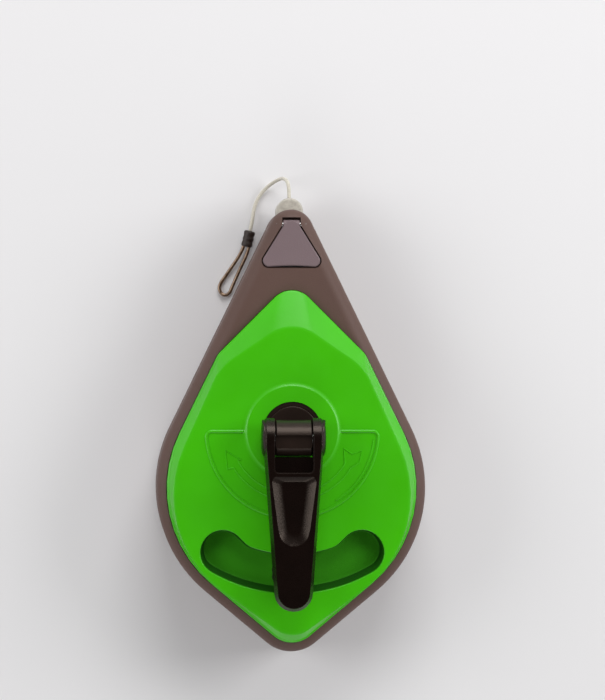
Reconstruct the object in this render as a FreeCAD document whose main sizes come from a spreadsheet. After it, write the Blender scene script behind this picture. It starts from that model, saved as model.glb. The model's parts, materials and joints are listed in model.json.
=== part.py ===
import FreeCAD, Part
import math
import os
import Sketcher

# Chalk line reel: a teardrop case in two shells that holds powdered chalk and a
# spool of line, a geared rewind under a face cover, a flip-over crank, a felt
# mouth at the nose and a hooked line end. The reel lies on its back.
# Millimetres. The origin is where the crank's axis meets the back face,
# +X is to the right, +Y points to the nose and +Z is the front.

CELLS = [
    # The case outline is the hull of three circles on the Y axis.
    ("nose_y", 58.1), ("nose_rad", 6.6),
    ("belly_y", -16.6), ("belly_rad", 39.3),
    ("tail_y", -53.5), ("tail_rad", 11.0),
    ("wall", 2.2), ("parting", 12.0), ("face_z", 29.0), ("edge_round", 4.0), ("joint_bevel", 0.3),
    ("chamber_nose_y", 47.5), ("chamber_nose_rad", 9.0),
    ("deck_low", 23.0), ("deck_top", 25.0),
    ("seal_out", 0.7), ("seal_in", 1.5), ("seal_deep", 0.8),
    # Screw posts and screws that hold the shells together.
    ("post_side_x", 25.4), ("post_side_y", 11.0), ("post_tail_y", -56.5),
    ("post_nose_x", -7.0), ("post_nose_y", 40.0),
    ("post_rad", 3.8), ("thread_post_rad", 3.4),
    ("screw_head_rad", 2.6), ("screw_head_tall", 2.0), ("screw_rad", 1.25),
    ("sink_rad", 2.8), ("sink_deep", 4.0), ("screw_end", 19.0),
    # Face cover.
    ("cover_gap", 2.9), ("cover_low", 27.0), ("cover_edge", 30.6),
    ("plateau_z", 34.0), ("cover_skin", 2.0), ("cover_fit", 0.15),
    ("cover_top_y", 34.0), ("cover_top_rad", 7.0),
    ("shoulder_x", 16.54), ("shoulder_y", 18.86), ("shoulder_rad", 6.0),
    ("crown_top_y", 18.4), ("crown_top_rad", 12.0),
    ("crown_side_x", 9.5), ("crown_side_y", 10.0), ("crown_side_rad", 15.2),
    ("crown_belly_y", -18.5), ("crown_belly_rad", 34.3),
    ("crown_tail_y", -51.5), ("crown_tail_rad", 7.5),
    ("gear_space_gap", 2.5),
    ("boss_rad", 14.0), ("boss_tall", 0.8),
    ("panel_rad", 25.6), ("ridge_wide", 1.0), ("ridge_tall", 0.4),
    ("recess_end_x", 19.4), ("recess_end_y", -36.1), ("recess_rad", 6.3),
    ("recess_floor", 29.0), ("recess_skin", 1.6),
    ("cover_screw_x", 24.0), ("cover_screw_y", -12.0), ("cover_screw_top_y", 30.0),
    ("cover_post_rad", 3.0), ("cover_screw_end", 30.0), ("cover_head_tall", 1.6),
    # Gears: an offset spur pair of three to one.
    ("gear_module", 0.7), ("drive_teeth", 36), ("pinion_teeth", 12),
    ("pressure_angle", 25.0), ("tooth_thinning", 0.06),
    ("gear_low", 27.1), ("gear_top", 30.7),
    ("drive_square", 7.0), ("spool_square", 4.2),
    # Crank hub, its bearings and the hinge of the arm.
    ("hub_rad", 7.32), ("bush_bore", 7.4), ("bush_rad", 8.6),
    ("bush_low", 31.45), ("bush_top", 34.6), ("collar_rad", 9.0), ("collar_top", 31.35),
    ("hub_top", 34.9), ("journal_rad", 3.0), ("journal_low", 24.3),
    ("bearing_rad", 6.0), ("bearing_top", 26.4), ("running_gap", 0.06),
    ("hub_screw_rad", 1.5), ("hub_screw_end", 33.0), ("washer_rad", 5.0),
    ("seal_groove_low", 32.6), ("seal_groove_top", 33.6), ("seal_groove_rad", 6.5),
    ("hinge_y", -1.9), ("hinge_z", 41.0), ("ear_rad", 5.8), ("knuckle_rad", 5.3),
    ("knuckle_half", 5.3), ("slot_half", 5.5), ("pin_rad", 1.5), ("pin_half", 9.05),
    ("lug_half", 3.7), ("lug_end_y", -7.5), ("lug_low", 36.2), ("lug_top", 38.6),
    # Crank arm and knob.
    ("arm_half", 9.25), ("arm_corner", 1.0), ("arm_corner_y", 2.9),
    ("arm_end_y", -46.3), ("arm_end_rad", 5.6), ("arm_under", 42.0),
    ("arm_slope_y", -14.0), ("arm_tip_z", 44.8), ("window_end_y", -11.8),
    ("scoop_half", 3.9), ("scoop_start_y", -13.0), ("scoop_end_y", -33.3),
    ("scoop_deep", 1.2),
    ("knob_y", -41.0), ("knob_rad", 6.2), ("knob_neck", 4.8), ("knob_low", 34.5),
    ("knob_top", 41.3), ("rivet_rad", 1.5), ("rivet_head_rad", 3.0),
    ("rivet_head_low", 35.3), ("rivet_head_top", 36.3), ("knob_washer_rad", 3.6),
    # Spool and its axle, at the gears' centre distance from the crank.
    ("spool_y", -16.8), ("axle_rad", 1.5), ("axle_low", 0.8), ("axle_top", 31.6),
    ("flange_rad", 32.5), ("flange_low", 3.25), ("flange_thick", 1.2), ("winding", 15.1),
    ("drum_rad", 8.0), ("spigot_rad", 6.0), ("wound_rad", 28.5),
    ("axle_boss_rad", 5.0), ("axle_boss_top", 2.6), ("thrust_top", 3.2),
    ("shaft_rad", 3.6), ("deck_bush_rad", 5.0), ("deck_boss_rad", 6.4),
    ("felt_ring_low", 21.0),
    # Fill door on the front of the nose.
    ("door_top_y", 59.0), ("door_top_rad", 2.6),
    ("door_side_x", 6.6), ("door_side_y", 49.6), ("door_side_rad", 1.9),
    ("door_thick", 1.6), ("door_fit", 0.25), ("door_pin_y", 60.2), ("door_pin_z", 27.6),
    ("door_pin_rad", 0.75), ("door_pin_half", 4.3), ("door_knuckle_rad", 1.4),
    ("door_knuckle_half", 2.4), ("door_well_half", 2.7), ("door_well_low", 25.9),
    ("door_well_start", 58.5), ("door_well_end", 62.3),
    ("port_top_y", 55.6), ("port_side_x", 5.0), ("port_side_y", 50.6), ("port_rad", 1.6),
    ("port_seal_out", 1.2), ("port_seal_in", 0.4), ("port_seal_deep", 0.6),
    # Mouth, felts and line.
    ("mouth_half", 4.25), ("mouth_start", 55.0), ("mouth_low", 7.0), ("mouth_top", 17.0),
    ("felt_start", 57.2), ("felt_tip", 68.6), ("line_rad", 0.55),
    ("ferrule_rad", 1.7), ("ferrule_long", 4.8), ("wire_rad", 0.5),
]


class Size:
    """A number together with the spreadsheet expression that it comes from."""

    def __init__(self, number, text):
        self.number = float(number)
        self.text = text

    def __add__(self, other):
        other = as_size(other)
        return Size(self.number + other.number, f"({self.text} + {other.text})")

    def __sub__(self, other):
        other = as_size(other)
        return Size(self.number - other.number, f"({self.text} - {other.text})")

    def __mul__(self, other):
        other = as_size(other)
        return Size(self.number * other.number, f"({self.text} * {other.text})")

    def __truediv__(self, other):
        other = as_size(other)
        return Size(self.number / other.number, f"({self.text} / {other.text})")

    def __radd__(self, other):
        return as_size(other) + self

    def __rsub__(self, other):
        return as_size(other) - self

    def __rmul__(self, other):
        return as_size(other) * self

    def __neg__(self):
        return Size(-self.number, f"(0 - {self.text})")

    def __float__(self):
        return self.number


def as_size(value):
    """A plain number is a size whose expression is the number itself."""
    return value if isinstance(value, Size) else Size(value, f"({float(value):g})")


class Dimensions:
    """The driving dimensions by name, each backed by its spreadsheet cell."""


doc = FreeCAD.newDocument("chalk_line_reel")
sheet = doc.addObject("Spreadsheet::Sheet", "Sizes")
dim = Dimensions()
for row, (name, number) in enumerate(CELLS, start=1):
    sheet.set(f"A{row}", name)
    sheet.set(f"B{row}", str(number))
    sheet.setAlias(f"B{row}", name)
    setattr(dim, name, Size(number, f"Sizes.{name}"))
doc.recompute()

CASE_SCREWS = [
    (dim.post_side_x, dim.post_side_y),
    (-dim.post_side_x, dim.post_side_y),
    (dim.post_nose_x, dim.post_nose_y),
    (as_size(0), dim.post_tail_y),
]
COVER_SCREWS = [
    (dim.cover_screw_x, dim.cover_screw_y),
    (-dim.cover_screw_x, dim.cover_screw_y),
    (as_size(0), dim.cover_screw_top_y),
]
SPOOL_FLANGE_TOP = dim.flange_low + dim.flange_thick
WINDING_TOP = SPOOL_FLANGE_TOP + dim.winding
SPOOL_TOP = WINDING_TOP + dim.flange_thick
SLOT_MOUTH_END = 70

subparts = {}


# ---------------------------------------------------------------- sketching

def new_body(label):
    """A PartDesign body that is one sub-part of the reel."""
    body = doc.addObject("PartDesign::Body", label)
    body.Label = label
    subparts[label] = body
    return body


def new_sketch(body, role="XY_Plane", height=0):
    """A sketch on one of the body's own origin planes, lifted along its normal."""
    sketch = body.newObject("Sketcher::SketchObject", "Sketch")
    planes = [f for f in body.Origin.OriginFeatures if f.Role == role]
    sketch.AttachmentSupport = [(planes[0], "")]
    sketch.MapMode = "FlatFace"
    height = as_size(height)
    sketch.AttachmentOffset = FreeCAD.Placement(
        FreeCAD.Vector(0, 0, height.number), FreeCAD.Rotation())
    sketch.setExpression("AttachmentOffset.Base.z", height.text)
    return sketch


def drive(sketch, constraint, text):
    """Adds a dimension and binds it to its expression."""
    index = sketch.addConstraint(constraint)
    sketch.setExpression(f"Constraints[{index}]", text)


def pin_point(sketch, geometry, which, x, y):
    """Fixes one point of a sketch element at (x, y)."""
    x, y = as_size(x), as_size(y)
    if abs(x.number) < 1e-9:
        sketch.addConstraint(Sketcher.Constraint("PointOnObject", geometry, which, -2))
    else:
        drive(sketch, Sketcher.Constraint(
            "DistanceX", -1, 1, geometry, which, x.number), x.text)
    if abs(y.number) < 1e-9:
        sketch.addConstraint(Sketcher.Constraint("PointOnObject", geometry, which, -1))
    else:
        drive(sketch, Sketcher.Constraint(
            "DistanceY", -1, 1, geometry, which, y.number), y.text)


def add_circle(sketch, x, y, radius):
    x, y, radius = as_size(x), as_size(y), as_size(radius)
    centre = FreeCAD.Vector(x.number, y.number, 0)
    index = sketch.addGeometry(
        Part.Circle(centre, FreeCAD.Vector(0, 0, 1), radius.number), False)
    pin_point(sketch, index, 3, x, y)
    drive(sketch, Sketcher.Constraint("Radius", index, radius.number), radius.text)


def add_polygon(sketch, corners):
    """A closed polygon whose every corner is dimensioned from the origin."""
    corners = [(as_size(x), as_size(y)) for x, y in corners]
    points = [FreeCAD.Vector(x.number, y.number, 0) for x, y in corners]
    first = sketch.GeometryCount
    count = len(points)
    for i in range(count):
        sketch.addGeometry(Part.LineSegment(points[i], points[(i + 1) % count]), False)
    for i in range(count):
        after = first + (i + 1) % count
        sketch.addConstraint(
            Sketcher.Constraint("Coincident", first + i, 2, after, 1))
    for i, (x, y) in enumerate(corners):
        pin_point(sketch, first + i, 1, x, y)


def add_rectangle(sketch, x_low, x_high, y_low, y_high):
    add_polygon(sketch, [(x_low, y_low), (x_high, y_low), (x_high, y_high), (x_low, y_high)])


def add_hull(sketch, circles, grow=0):
    """The tangent outline round circles given anticlockwise as (x, y, radius)."""
    circles = [(as_size(x), as_size(y), as_size(r) + grow) for x, y, r in circles]
    count = len(circles)
    turns = []
    for i in range(count):
        x1, y1, r1 = (float(v) for v in circles[i])
        x2, y2, r2 = (float(v) for v in circles[(i + 1) % count])
        heading = math.atan2(y2 - y1, x2 - x1)
        turns.append(heading - math.acos((r1 - r2) / math.hypot(x2 - x1, y2 - y1)))
    first = sketch.GeometryCount
    for i, (x, y, r) in enumerate(circles):
        start, end = turns[i - 1], turns[i]
        while end <= start:
            end += 2 * math.pi
        ring = Part.Circle(FreeCAD.Vector(x.number, y.number, 0),
                           FreeCAD.Vector(0, 0, 1), r.number)
        sketch.addGeometry(Part.ArcOfCircle(ring, start, end), False)
    for i in range(count):
        normal = FreeCAD.Vector(math.cos(turns[i]), math.sin(turns[i]), 0)
        ends = []
        for x, y, r in (circles[i], circles[(i + 1) % count]):
            ends.append(FreeCAD.Vector(x.number, y.number, 0) + normal * r.number)
        sketch.addGeometry(Part.LineSegment(*ends), False)
    for i, (x, y, r) in enumerate(circles):
        pin_point(sketch, first + i, 3, x, y)
        drive(sketch, Sketcher.Constraint("Radius", first + i, r.number), r.text)
    for i in range(count):
        line = first + count + i
        sketch.addConstraint(Sketcher.Constraint("Tangent", line, 1, first + i, 2))
        sketch.addConstraint(
            Sketcher.Constraint("Tangent", line, 2, first + (i + 1) % count, 1))


# ----------------------------------------------------------------- features

def set_length(feature, prop, size):
    size = as_size(size)
    setattr(feature, prop, size.number)
    feature.setExpression(prop, size.text)


def pad(body, sketch, length, down=False, both_ways=False):
    """Material from the sketch along its normal, or against it."""
    feature = body.newObject("PartDesign::Pad", "Pad")
    feature.Profile = sketch
    set_length(feature, "Length", length)
    feature.Reversed = down
    feature.Midplane = both_ways
    doc.recompute()
    return feature


def pocket(body, sketch, depth, up=False, both_ways=False):
    """Cuts below the sketch, or above it, and checks that material went away."""
    before = body.Shape.Volume
    feature = body.newObject("PartDesign::Pocket", "Pocket")
    feature.Profile = sketch
    set_length(feature, "Length", depth)
    feature.Reversed = up
    feature.Midplane = both_ways
    doc.recompute()
    if not body.Shape.Volume < before - 1e-4:
        raise RuntimeError(f"{body.Label}: a pocket cut nothing")
    return feature


def revolve(body, profile, inner=False):
    """A turned shape about Z from (radius, height) corners, added or cut."""
    sketch = new_sketch(body, "XZ_Plane")
    add_polygon(sketch, profile)
    kind = "PartDesign::Groove" if inner else "PartDesign::Revolution"
    before = body.Shape.Volume if inner else 0
    feature = body.newObject(kind, "Turned")
    feature.Profile = sketch
    feature.ReferenceAxis = (sketch, ["V_Axis"])
    feature.Angle = 360
    doc.recompute()
    if inner and not body.Shape.Volume < before - 1e-4:
        raise RuntimeError(f"{body.Label}: a groove cut nothing")
    return feature


def loft(body, lower, upper, cut=False):
    kind = "PartDesign::SubtractiveLoft" if cut else "PartDesign::AdditiveLoft"
    feature = body.newObject(kind, "Loft")
    feature.Profile = lower
    feature.Sections = [upper]
    feature.Ruled = True
    doc.recompute()
    return feature


def dress(body, kind, keep, size):
    """A fillet or chamfer on the edges of the body that keep(edge) picks."""
    tip = body.Tip
    names = [f"Edge{i}" for i, edge in enumerate(tip.Shape.Edges, start=1) if keep(edge)]
    feature = body.newObject(f"PartDesign::{kind}", kind)
    feature.Base = (tip, names)
    set_length(feature, "Radius" if kind == "Fillet" else "Size", size)
    doc.recompute()
    return feature


def ring(label, inner, outer, low, high, x=0, y=0):
    """A washer, bush or sleeve about a line along Z at (x, y)."""
    body = new_body(label)
    revolve(body, [(inner, low), (outer, low), (outer, high), (inner, high)])
    move_to(body, x, y)
    return body


def move_to(body, x, y):
    for axis, value in (("x", as_size(x)), ("y", as_size(y))):
        body.setExpression(f"Placement.Base.{axis}", value.text)


def cylinder(name, radius, length, position, along="z"):
    """A Part cylinder bound to the sheet, standing or lying along X."""
    shape = doc.addObject("Part::Cylinder", name)
    set_length(shape, "Radius", radius)
    set_length(shape, "Height", length)
    if along == "x":
        shape.Placement.Rotation = FreeCAD.Rotation(FreeCAD.Vector(0, 1, 0), 90)
    for axis, value in zip("xyz", position):
        shape.setExpression(f"Placement.Base.{axis}", as_size(value).text)
    return shape


def fuse(label, pieces):
    joined = doc.addObject("Part::MultiFuse", label)
    joined.Shapes = pieces
    return joined


# ------------------------------------------------------------ case outlines

CASE = [
    (0, dim.tail_y, dim.tail_rad),
    (0, dim.belly_y, dim.belly_rad),
    (0, dim.nose_y, dim.nose_rad),
    (0, dim.belly_y, dim.belly_rad),
]
CHAMBER = [
    (0, dim.tail_y, dim.tail_rad - dim.wall),
    (0, dim.belly_y, dim.belly_rad - dim.wall),
    (0, dim.chamber_nose_y, dim.chamber_nose_rad),
    (0, dim.belly_y, dim.belly_rad - dim.wall),
]
COVER = [
    (0, dim.tail_y, dim.tail_rad - dim.cover_gap),
    (0, dim.belly_y, dim.belly_rad - dim.cover_gap),
    (dim.shoulder_x, dim.shoulder_y, dim.shoulder_rad),
    (0, dim.cover_top_y, dim.cover_top_rad),
    (-dim.shoulder_x, dim.shoulder_y, dim.shoulder_rad),
    (0, dim.belly_y, dim.belly_rad - dim.cover_gap),
]
CROWN = [
    (0, dim.crown_tail_y, dim.crown_tail_rad),
    (0, dim.crown_belly_y, dim.crown_belly_rad),
    (dim.crown_side_x, dim.crown_side_y, dim.crown_side_rad),
    (0, dim.crown_top_y, dim.crown_top_rad),
    (-dim.crown_side_x, dim.crown_side_y, dim.crown_side_rad),
    (0, dim.crown_belly_y, dim.crown_belly_rad),
]
DOOR = [
    (-dim.door_side_x, dim.door_side_y, dim.door_side_rad),
    (dim.door_side_x, dim.door_side_y, dim.door_side_rad),
    (0, dim.door_top_y, dim.door_top_rad),
]
PORT = [
    (-dim.port_side_x, dim.port_side_y, dim.port_rad),
    (dim.port_side_x, dim.port_side_y, dim.port_rad),
    (0, dim.port_top_y, dim.port_rad),
]


def outline(body, circles, grow=0, height=0):
    sketch = new_sketch(body, "XY_Plane", height)
    add_hull(sketch, circles, grow)
    return sketch


def edges_at(height):
    """Picks the edges that lie at one height."""
    def keep(edge):
        box = edge.BoundBox
        return abs(box.ZMin - height) < 1e-3 and abs(box.ZMax - height) < 1e-3
    return keep


# --------------------------------------------------------------- case shells

def make_back_case():
    body = new_body("back_case")
    pad(body, outline(body, CASE), dim.parting)
    dress(body, "Fillet", edges_at(0), dim.edge_round)
    dress(body, "Chamfer", edges_at(dim.parting.number), dim.joint_bevel)
    pocket(body, outline(body, CHAMBER, 0, dim.parting), dim.parting - dim.wall)
    posts = new_sketch(body, "XY_Plane", dim.wall)
    for x, y in CASE_SCREWS:
        add_circle(posts, x, y, dim.post_rad)
    pad(body, posts, dim.parting - dim.wall)
    boss = new_sketch(body, "XY_Plane", dim.wall)
    add_circle(boss, 0, dim.spool_y, dim.axle_boss_rad)
    pad(body, boss, dim.axle_boss_top - dim.wall)
    axle_hole = new_sketch(body, "XY_Plane", dim.axle_boss_top)
    add_circle(axle_hole, 0, dim.spool_y, dim.axle_rad)
    pocket(body, axle_hole, dim.axle_boss_top - dim.axle_low)
    sinks = new_sketch(body, "XY_Plane")
    shanks = new_sketch(body, "XY_Plane")
    for x, y in CASE_SCREWS:
        add_circle(sinks, x, y, dim.sink_rad)
        add_circle(shanks, x, y, dim.screw_rad)
    pocket(body, sinks, dim.sink_deep, up=True)
    pocket(body, shanks, dim.parting, up=True)
    mouth = new_sketch(body, "XY_Plane", dim.parting)
    add_rectangle(mouth, -dim.mouth_half, dim.mouth_half, dim.mouth_start, SLOT_MOUTH_END)
    pocket(body, mouth, dim.parting - dim.mouth_low)


def make_front_case():
    body = new_body("front_case")
    tall = dim.face_z - dim.parting
    pad(body, outline(body, CASE, 0, dim.parting), tall)
    dress(body, "Fillet", edges_at(dim.face_z.number), dim.edge_round)
    dress(body, "Chamfer", edges_at(dim.parting.number), dim.joint_bevel)
    pocket(body, outline(body, CHAMBER, 0, dim.parting), dim.deck_low - dim.parting, up=True)
    pocket(body, outline(body, COVER, dim.cover_fit, dim.face_z), dim.face_z - dim.cover_low)
    pocket(body, outline(body, COVER, -dim.gear_space_gap, dim.face_z),
           dim.face_z - dim.deck_top)
    posts = new_sketch(body, "XY_Plane", dim.parting)
    for x, y in CASE_SCREWS:
        add_circle(posts, x, y, dim.thread_post_rad)
    pad(body, posts, dim.deck_low - dim.parting)
    pilots = new_sketch(body, "XY_Plane", dim.parting)
    for x, y in CASE_SCREWS:
        add_circle(pilots, x, y, dim.screw_rad)
    pocket(body, pilots, dim.screw_end - dim.parting, up=True)
    bearings = new_sketch(body, "XY_Plane", dim.deck_top)
    add_circle(bearings, 0, 0, dim.bearing_rad)
    add_circle(bearings, 0, dim.spool_y, dim.deck_boss_rad)
    pad(body, bearings, dim.bearing_top - dim.deck_top)
    crank_hole = new_sketch(body, "XY_Plane", dim.bearing_top)
    add_circle(crank_hole, 0, 0, dim.journal_rad + dim.running_gap)
    pocket(body, crank_hole, dim.bearing_top - dim.journal_low + 0.2)
    bush_hole = new_sketch(body, "XY_Plane", dim.bearing_top)
    add_circle(bush_hole, 0, dim.spool_y, dim.deck_bush_rad)
    pocket(body, bush_hole, dim.bearing_top - dim.deck_low)
    holes = new_sketch(body, "XY_Plane", dim.deck_top)
    for x, y in COVER_SCREWS:
        add_circle(holes, x, y, dim.screw_rad)
    pocket(body, holes, dim.deck_top - dim.deck_low)
    door_seat = outline(body, DOOR, dim.door_fit, dim.face_z)
    pocket(body, door_seat, dim.door_thick)
    well = new_sketch(body, "XY_Plane", dim.face_z)
    add_rectangle(well, -dim.door_well_half, dim.door_well_half,
                  dim.door_well_start, dim.door_well_end)
    pocket(body, well, dim.face_z - dim.door_well_low)
    port_seat = outline(body, PORT, dim.port_seal_out, dim.face_z - dim.door_thick)
    add_hull(port_seat, PORT, dim.port_seal_in)
    pocket(body, port_seat, dim.port_seal_deep)
    port = outline(body, PORT, 0, dim.face_z)
    pocket(body, port, dim.face_z - dim.deck_low)
    pin_hole = new_sketch(body, "YZ_Plane")
    add_circle(pin_hole, dim.door_pin_y, dim.door_pin_z, dim.door_pin_rad)
    pocket(body, pin_hole, 2 * dim.door_pin_half, both_ways=True)
    seal = outline(body, CASE, -dim.seal_out, dim.parting)
    add_hull(seal, CASE, -dim.seal_in)
    pocket(body, seal, dim.seal_deep, up=True)
    mouth = new_sketch(body, "XY_Plane", dim.parting)
    add_rectangle(mouth, -dim.mouth_half, dim.mouth_half, dim.mouth_start, SLOT_MOUTH_END)
    pocket(body, mouth, dim.mouth_top - dim.parting, up=True)


def make_case_gasket():
    body = new_body("case_gasket")
    sketch = outline(body, CASE, -dim.seal_out, dim.parting)
    add_hull(sketch, CASE, -dim.seal_in)
    pad(body, sketch, dim.seal_deep)
    mouth = new_sketch(body, "XY_Plane", dim.parting)
    add_rectangle(mouth, -dim.mouth_half, dim.mouth_half, dim.mouth_start, SLOT_MOUTH_END)
    pocket(body, mouth, dim.seal_deep, up=True)


def screw_set(label, places, head_low, head_tall, end):
    """Identical screws with their heads at the back, one solid each."""
    screws = []
    for number, (x, y) in enumerate(places, start=1):
        head = cylinder(f"{label}_head", dim.screw_head_rad, head_tall, (x, y, head_low))
        shank = cylinder(f"{label}_shank", dim.screw_rad, end - head_low, (x, y, head_low))
        screws.append(fuse(f"{label}_{number}", [head, shank]))
    group = doc.addObject("Part::Compound", label)
    group.Label = label
    group.Links = screws
    subparts[label] = group


def make_screws():
    screw_set("case_screws", CASE_SCREWS, dim.sink_deep - dim.screw_head_tall,
              dim.screw_head_tall, dim.screw_end)
    screw_set("cover_screws", COVER_SCREWS, dim.deck_low - dim.cover_head_tall,
              dim.cover_head_tall, dim.cover_screw_end)


# ---------------------------------------------------------------- face cover

def add_recess(sketch, grow=0):
    """A slot bent along a circle about the crank's axis, below it."""
    end_x, end_y = dim.recess_end_x, dim.recess_end_y
    half = math.atan2(end_x.number, -end_y.number)
    middle = math.hypot(end_x.number, end_y.number)
    reach = dim.recess_rad + grow
    down = -math.pi / 2
    origin, up = FreeCAD.Vector(0, 0, 0), FreeCAD.Vector(0, 0, 1)
    ends = [FreeCAD.Vector(side * middle * math.sin(half), -middle * math.cos(half), 0)
            for side in (-1, 1)]
    outer = (origin, middle + reach.number, down - half, down + half)
    right = (ends[1], reach.number, down + half, down + half + math.pi)
    inner = (origin, middle - reach.number, down - half, down + half)
    left = (ends[0], reach.number, down - half - math.pi, down - half)
    first = sketch.GeometryCount
    for centre, radius, start, end in (outer, right, inner, left):
        arc = Part.ArcOfCircle(Part.Circle(centre, up, radius), start, end)
        sketch.addGeometry(arc, False)
    grow = as_size(grow)
    reach = dim.recess_rad + grow
    pin_point(sketch, first, 3, 0, 0)
    pin_point(sketch, first + 2, 3, 0, 0)
    pin_point(sketch, first + 1, 3, end_x, end_y)
    drive(sketch, Sketcher.Constraint("DistanceY", -1, 1, first + 3, 3, end_y.number), end_y.text)
    drive(sketch, Sketcher.Constraint("Radius", first + 1, reach.number), reach.text)
    sketch.addConstraint(Sketcher.Constraint("Tangent", first, 2, first + 1, 1))
    sketch.addConstraint(Sketcher.Constraint("Tangent", first + 1, 2, first + 2, 2))
    sketch.addConstraint(Sketcher.Constraint("Tangent", first + 2, 1, first + 3, 1))
    sketch.addConstraint(Sketcher.Constraint("Tangent", first + 3, 2, first, 1))


def make_face_cover():
    body = new_body("face_cover")
    pad(body, outline(body, COVER, 0, dim.cover_low), dim.cover_edge - dim.cover_low)
    loft(body, outline(body, COVER, 0, dim.cover_edge), outline(body, CROWN, 0, dim.plateau_z))
    inner_edge = dim.cover_edge - 1
    pocket(body, outline(body, COVER, -dim.wall, dim.cover_low),
           inner_edge - dim.cover_low, up=True)
    loft(body, outline(body, COVER, -dim.wall, inner_edge),
         outline(body, CROWN, -dim.cover_skin, dim.plateau_z - dim.cover_skin), cut=True)
    recess_shell = new_sketch(body, "XY_Plane", dim.plateau_z - dim.cover_skin)
    add_recess(recess_shell, dim.recess_skin)
    shell_deep = dim.plateau_z - dim.cover_skin - dim.recess_floor + dim.recess_skin
    pad(body, recess_shell, shell_deep, down=True)
    posts = new_sketch(body, "XY_Plane", dim.plateau_z - dim.cover_skin)
    for x, y in COVER_SCREWS:
        add_circle(posts, x, y, dim.cover_post_rad)
    pad(body, posts, dim.plateau_z - dim.cover_skin - dim.deck_top, down=True)
    pilots = new_sketch(body, "XY_Plane", dim.deck_top)
    for x, y in COVER_SCREWS:
        add_circle(pilots, x, y, dim.screw_rad)
    pocket(body, pilots, dim.cover_screw_end - dim.deck_top, up=True)
    axle_boss = new_sketch(body, "XY_Plane", dim.plateau_z - dim.cover_skin)
    add_circle(axle_boss, 0, dim.spool_y, dim.cover_post_rad)
    pad(body, axle_boss, 1, down=True)
    axle_hole = new_sketch(body, "XY_Plane", dim.plateau_z - dim.cover_skin - 1)
    add_circle(axle_hole, 0, dim.spool_y, dim.axle_rad)
    pocket(body, axle_hole, 1.2, up=True)
    boss = new_sketch(body, "XY_Plane", dim.plateau_z)
    add_circle(boss, 0, 0, dim.boss_rad)
    pad(body, boss, dim.boss_tall)
    add_panel_ridge(body)
    hub_hole = new_sketch(body, "XY_Plane", dim.plateau_z + dim.boss_tall)
    add_circle(hub_hole, 0, 0, dim.bush_rad)
    pocket(body, hub_hole, 2 * dim.cover_skin)
    recess = new_sketch(body, "XY_Plane", dim.plateau_z)
    add_recess(recess)
    pocket(body, recess, dim.plateau_z - dim.recess_floor)


def add_panel_ridge(body):
    """A thin raised half ring below the crank's axis."""
    sketch = new_sketch(body, "XY_Plane", dim.plateau_z)
    inner_rad = dim.panel_rad - dim.ridge_wide
    origin, up = FreeCAD.Vector(0, 0, 0), FreeCAD.Vector(0, 0, 1)
    for index, radius in enumerate((dim.panel_rad, inner_rad)):
        sketch.addGeometry(
            Part.ArcOfCircle(Part.Circle(origin, up, radius.number), math.pi, 2 * math.pi), False)
        pin_point(sketch, index, 3, 0, 0)
        drive(sketch, Sketcher.Constraint("Radius", index, radius.number), radius.text)
    for side, end in ((-1, 1), (1, 2)):
        sketch.addGeometry(Part.LineSegment(
            FreeCAD.Vector(side * dim.panel_rad.number, 0, 0),
            FreeCAD.Vector(side * inner_rad.number, 0, 0)), False)
        line = sketch.GeometryCount - 1
        sketch.addConstraint(Sketcher.Constraint("Coincident", line, 1, 0, end))
        sketch.addConstraint(Sketcher.Constraint("Coincident", line, 2, 1, end))
        sketch.addConstraint(Sketcher.Constraint("PointOnObject", 0, end, -1))
        sketch.addConstraint(Sketcher.Constraint("PointOnObject", 1, end, -1))
    pad(body, sketch, dim.ridge_tall)


# ------------------------------------------------------------------- gearing

def involute_point(base, radius, turn):
    """A point of the involute of a base circle, turned about the gear's axis."""
    slope = math.sqrt(max((radius / base) ** 2 - 1, 0))
    angle = turn + slope - math.atan(slope)
    return radius * math.cos(angle), radius * math.sin(angle)


def gear_face(teeth, first_tooth):
    """The outline of a spur gear with one tooth pointing at first_tooth (radians)."""
    module = dim.gear_module.number
    pressure = math.radians(dim.pressure_angle.number)
    pitch = module * teeth / 2
    base = pitch * math.cos(pressure)
    root, tip = pitch - 1.25 * module, pitch + module
    half_tooth = (math.pi * module / 2 - dim.tooth_thinning.number) / (2 * pitch)
    flank_turn = half_tooth + math.tan(pressure) - pressure
    start = max(base, root)
    corners = []
    for number in range(teeth):
        middle = first_tooth + 2 * math.pi * number / teeth
        flank = [involute_point(base, start + (tip - start) * k / 3, -flank_turn)
                 for k in range(4)]
        foot = math.atan2(flank[0][1], flank[0][0])
        side = [(root * math.cos(foot), root * math.sin(foot))] if base > root else []
        side += flank
        side += [(x, -y) for x, y in reversed(side)]
        for x, y in side:
            corners.append(FreeCAD.Vector(x * math.cos(middle) - y * math.sin(middle),
                                          x * math.sin(middle) + y * math.cos(middle), 0))
    return Part.Face(Part.makePolygon(corners + corners[:1]))


def square_hole(side, low, tall):
    return Part.makeBox(side, side, tall, FreeCAD.Vector(-side / 2, -side / 2, low))


def make_drive_gear():
    """The crank's gear, with a tooth towards the pinion and a square bore."""
    tall = dim.gear_top.number - dim.gear_low.number
    solid = gear_face(int(dim.drive_teeth.number), -math.pi / 2).extrude(
        FreeCAD.Vector(0, 0, tall))
    solid = solid.cut(square_hole(dim.drive_square.number, 0, tall))
    gear = doc.addObject("Part::Feature", "drive_gear")
    gear.Label = "drive_gear"
    gear.Shape = solid
    gear.Placement.Base = FreeCAD.Vector(0, 0, dim.gear_low.number)
    subparts["drive_gear"] = gear


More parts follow.
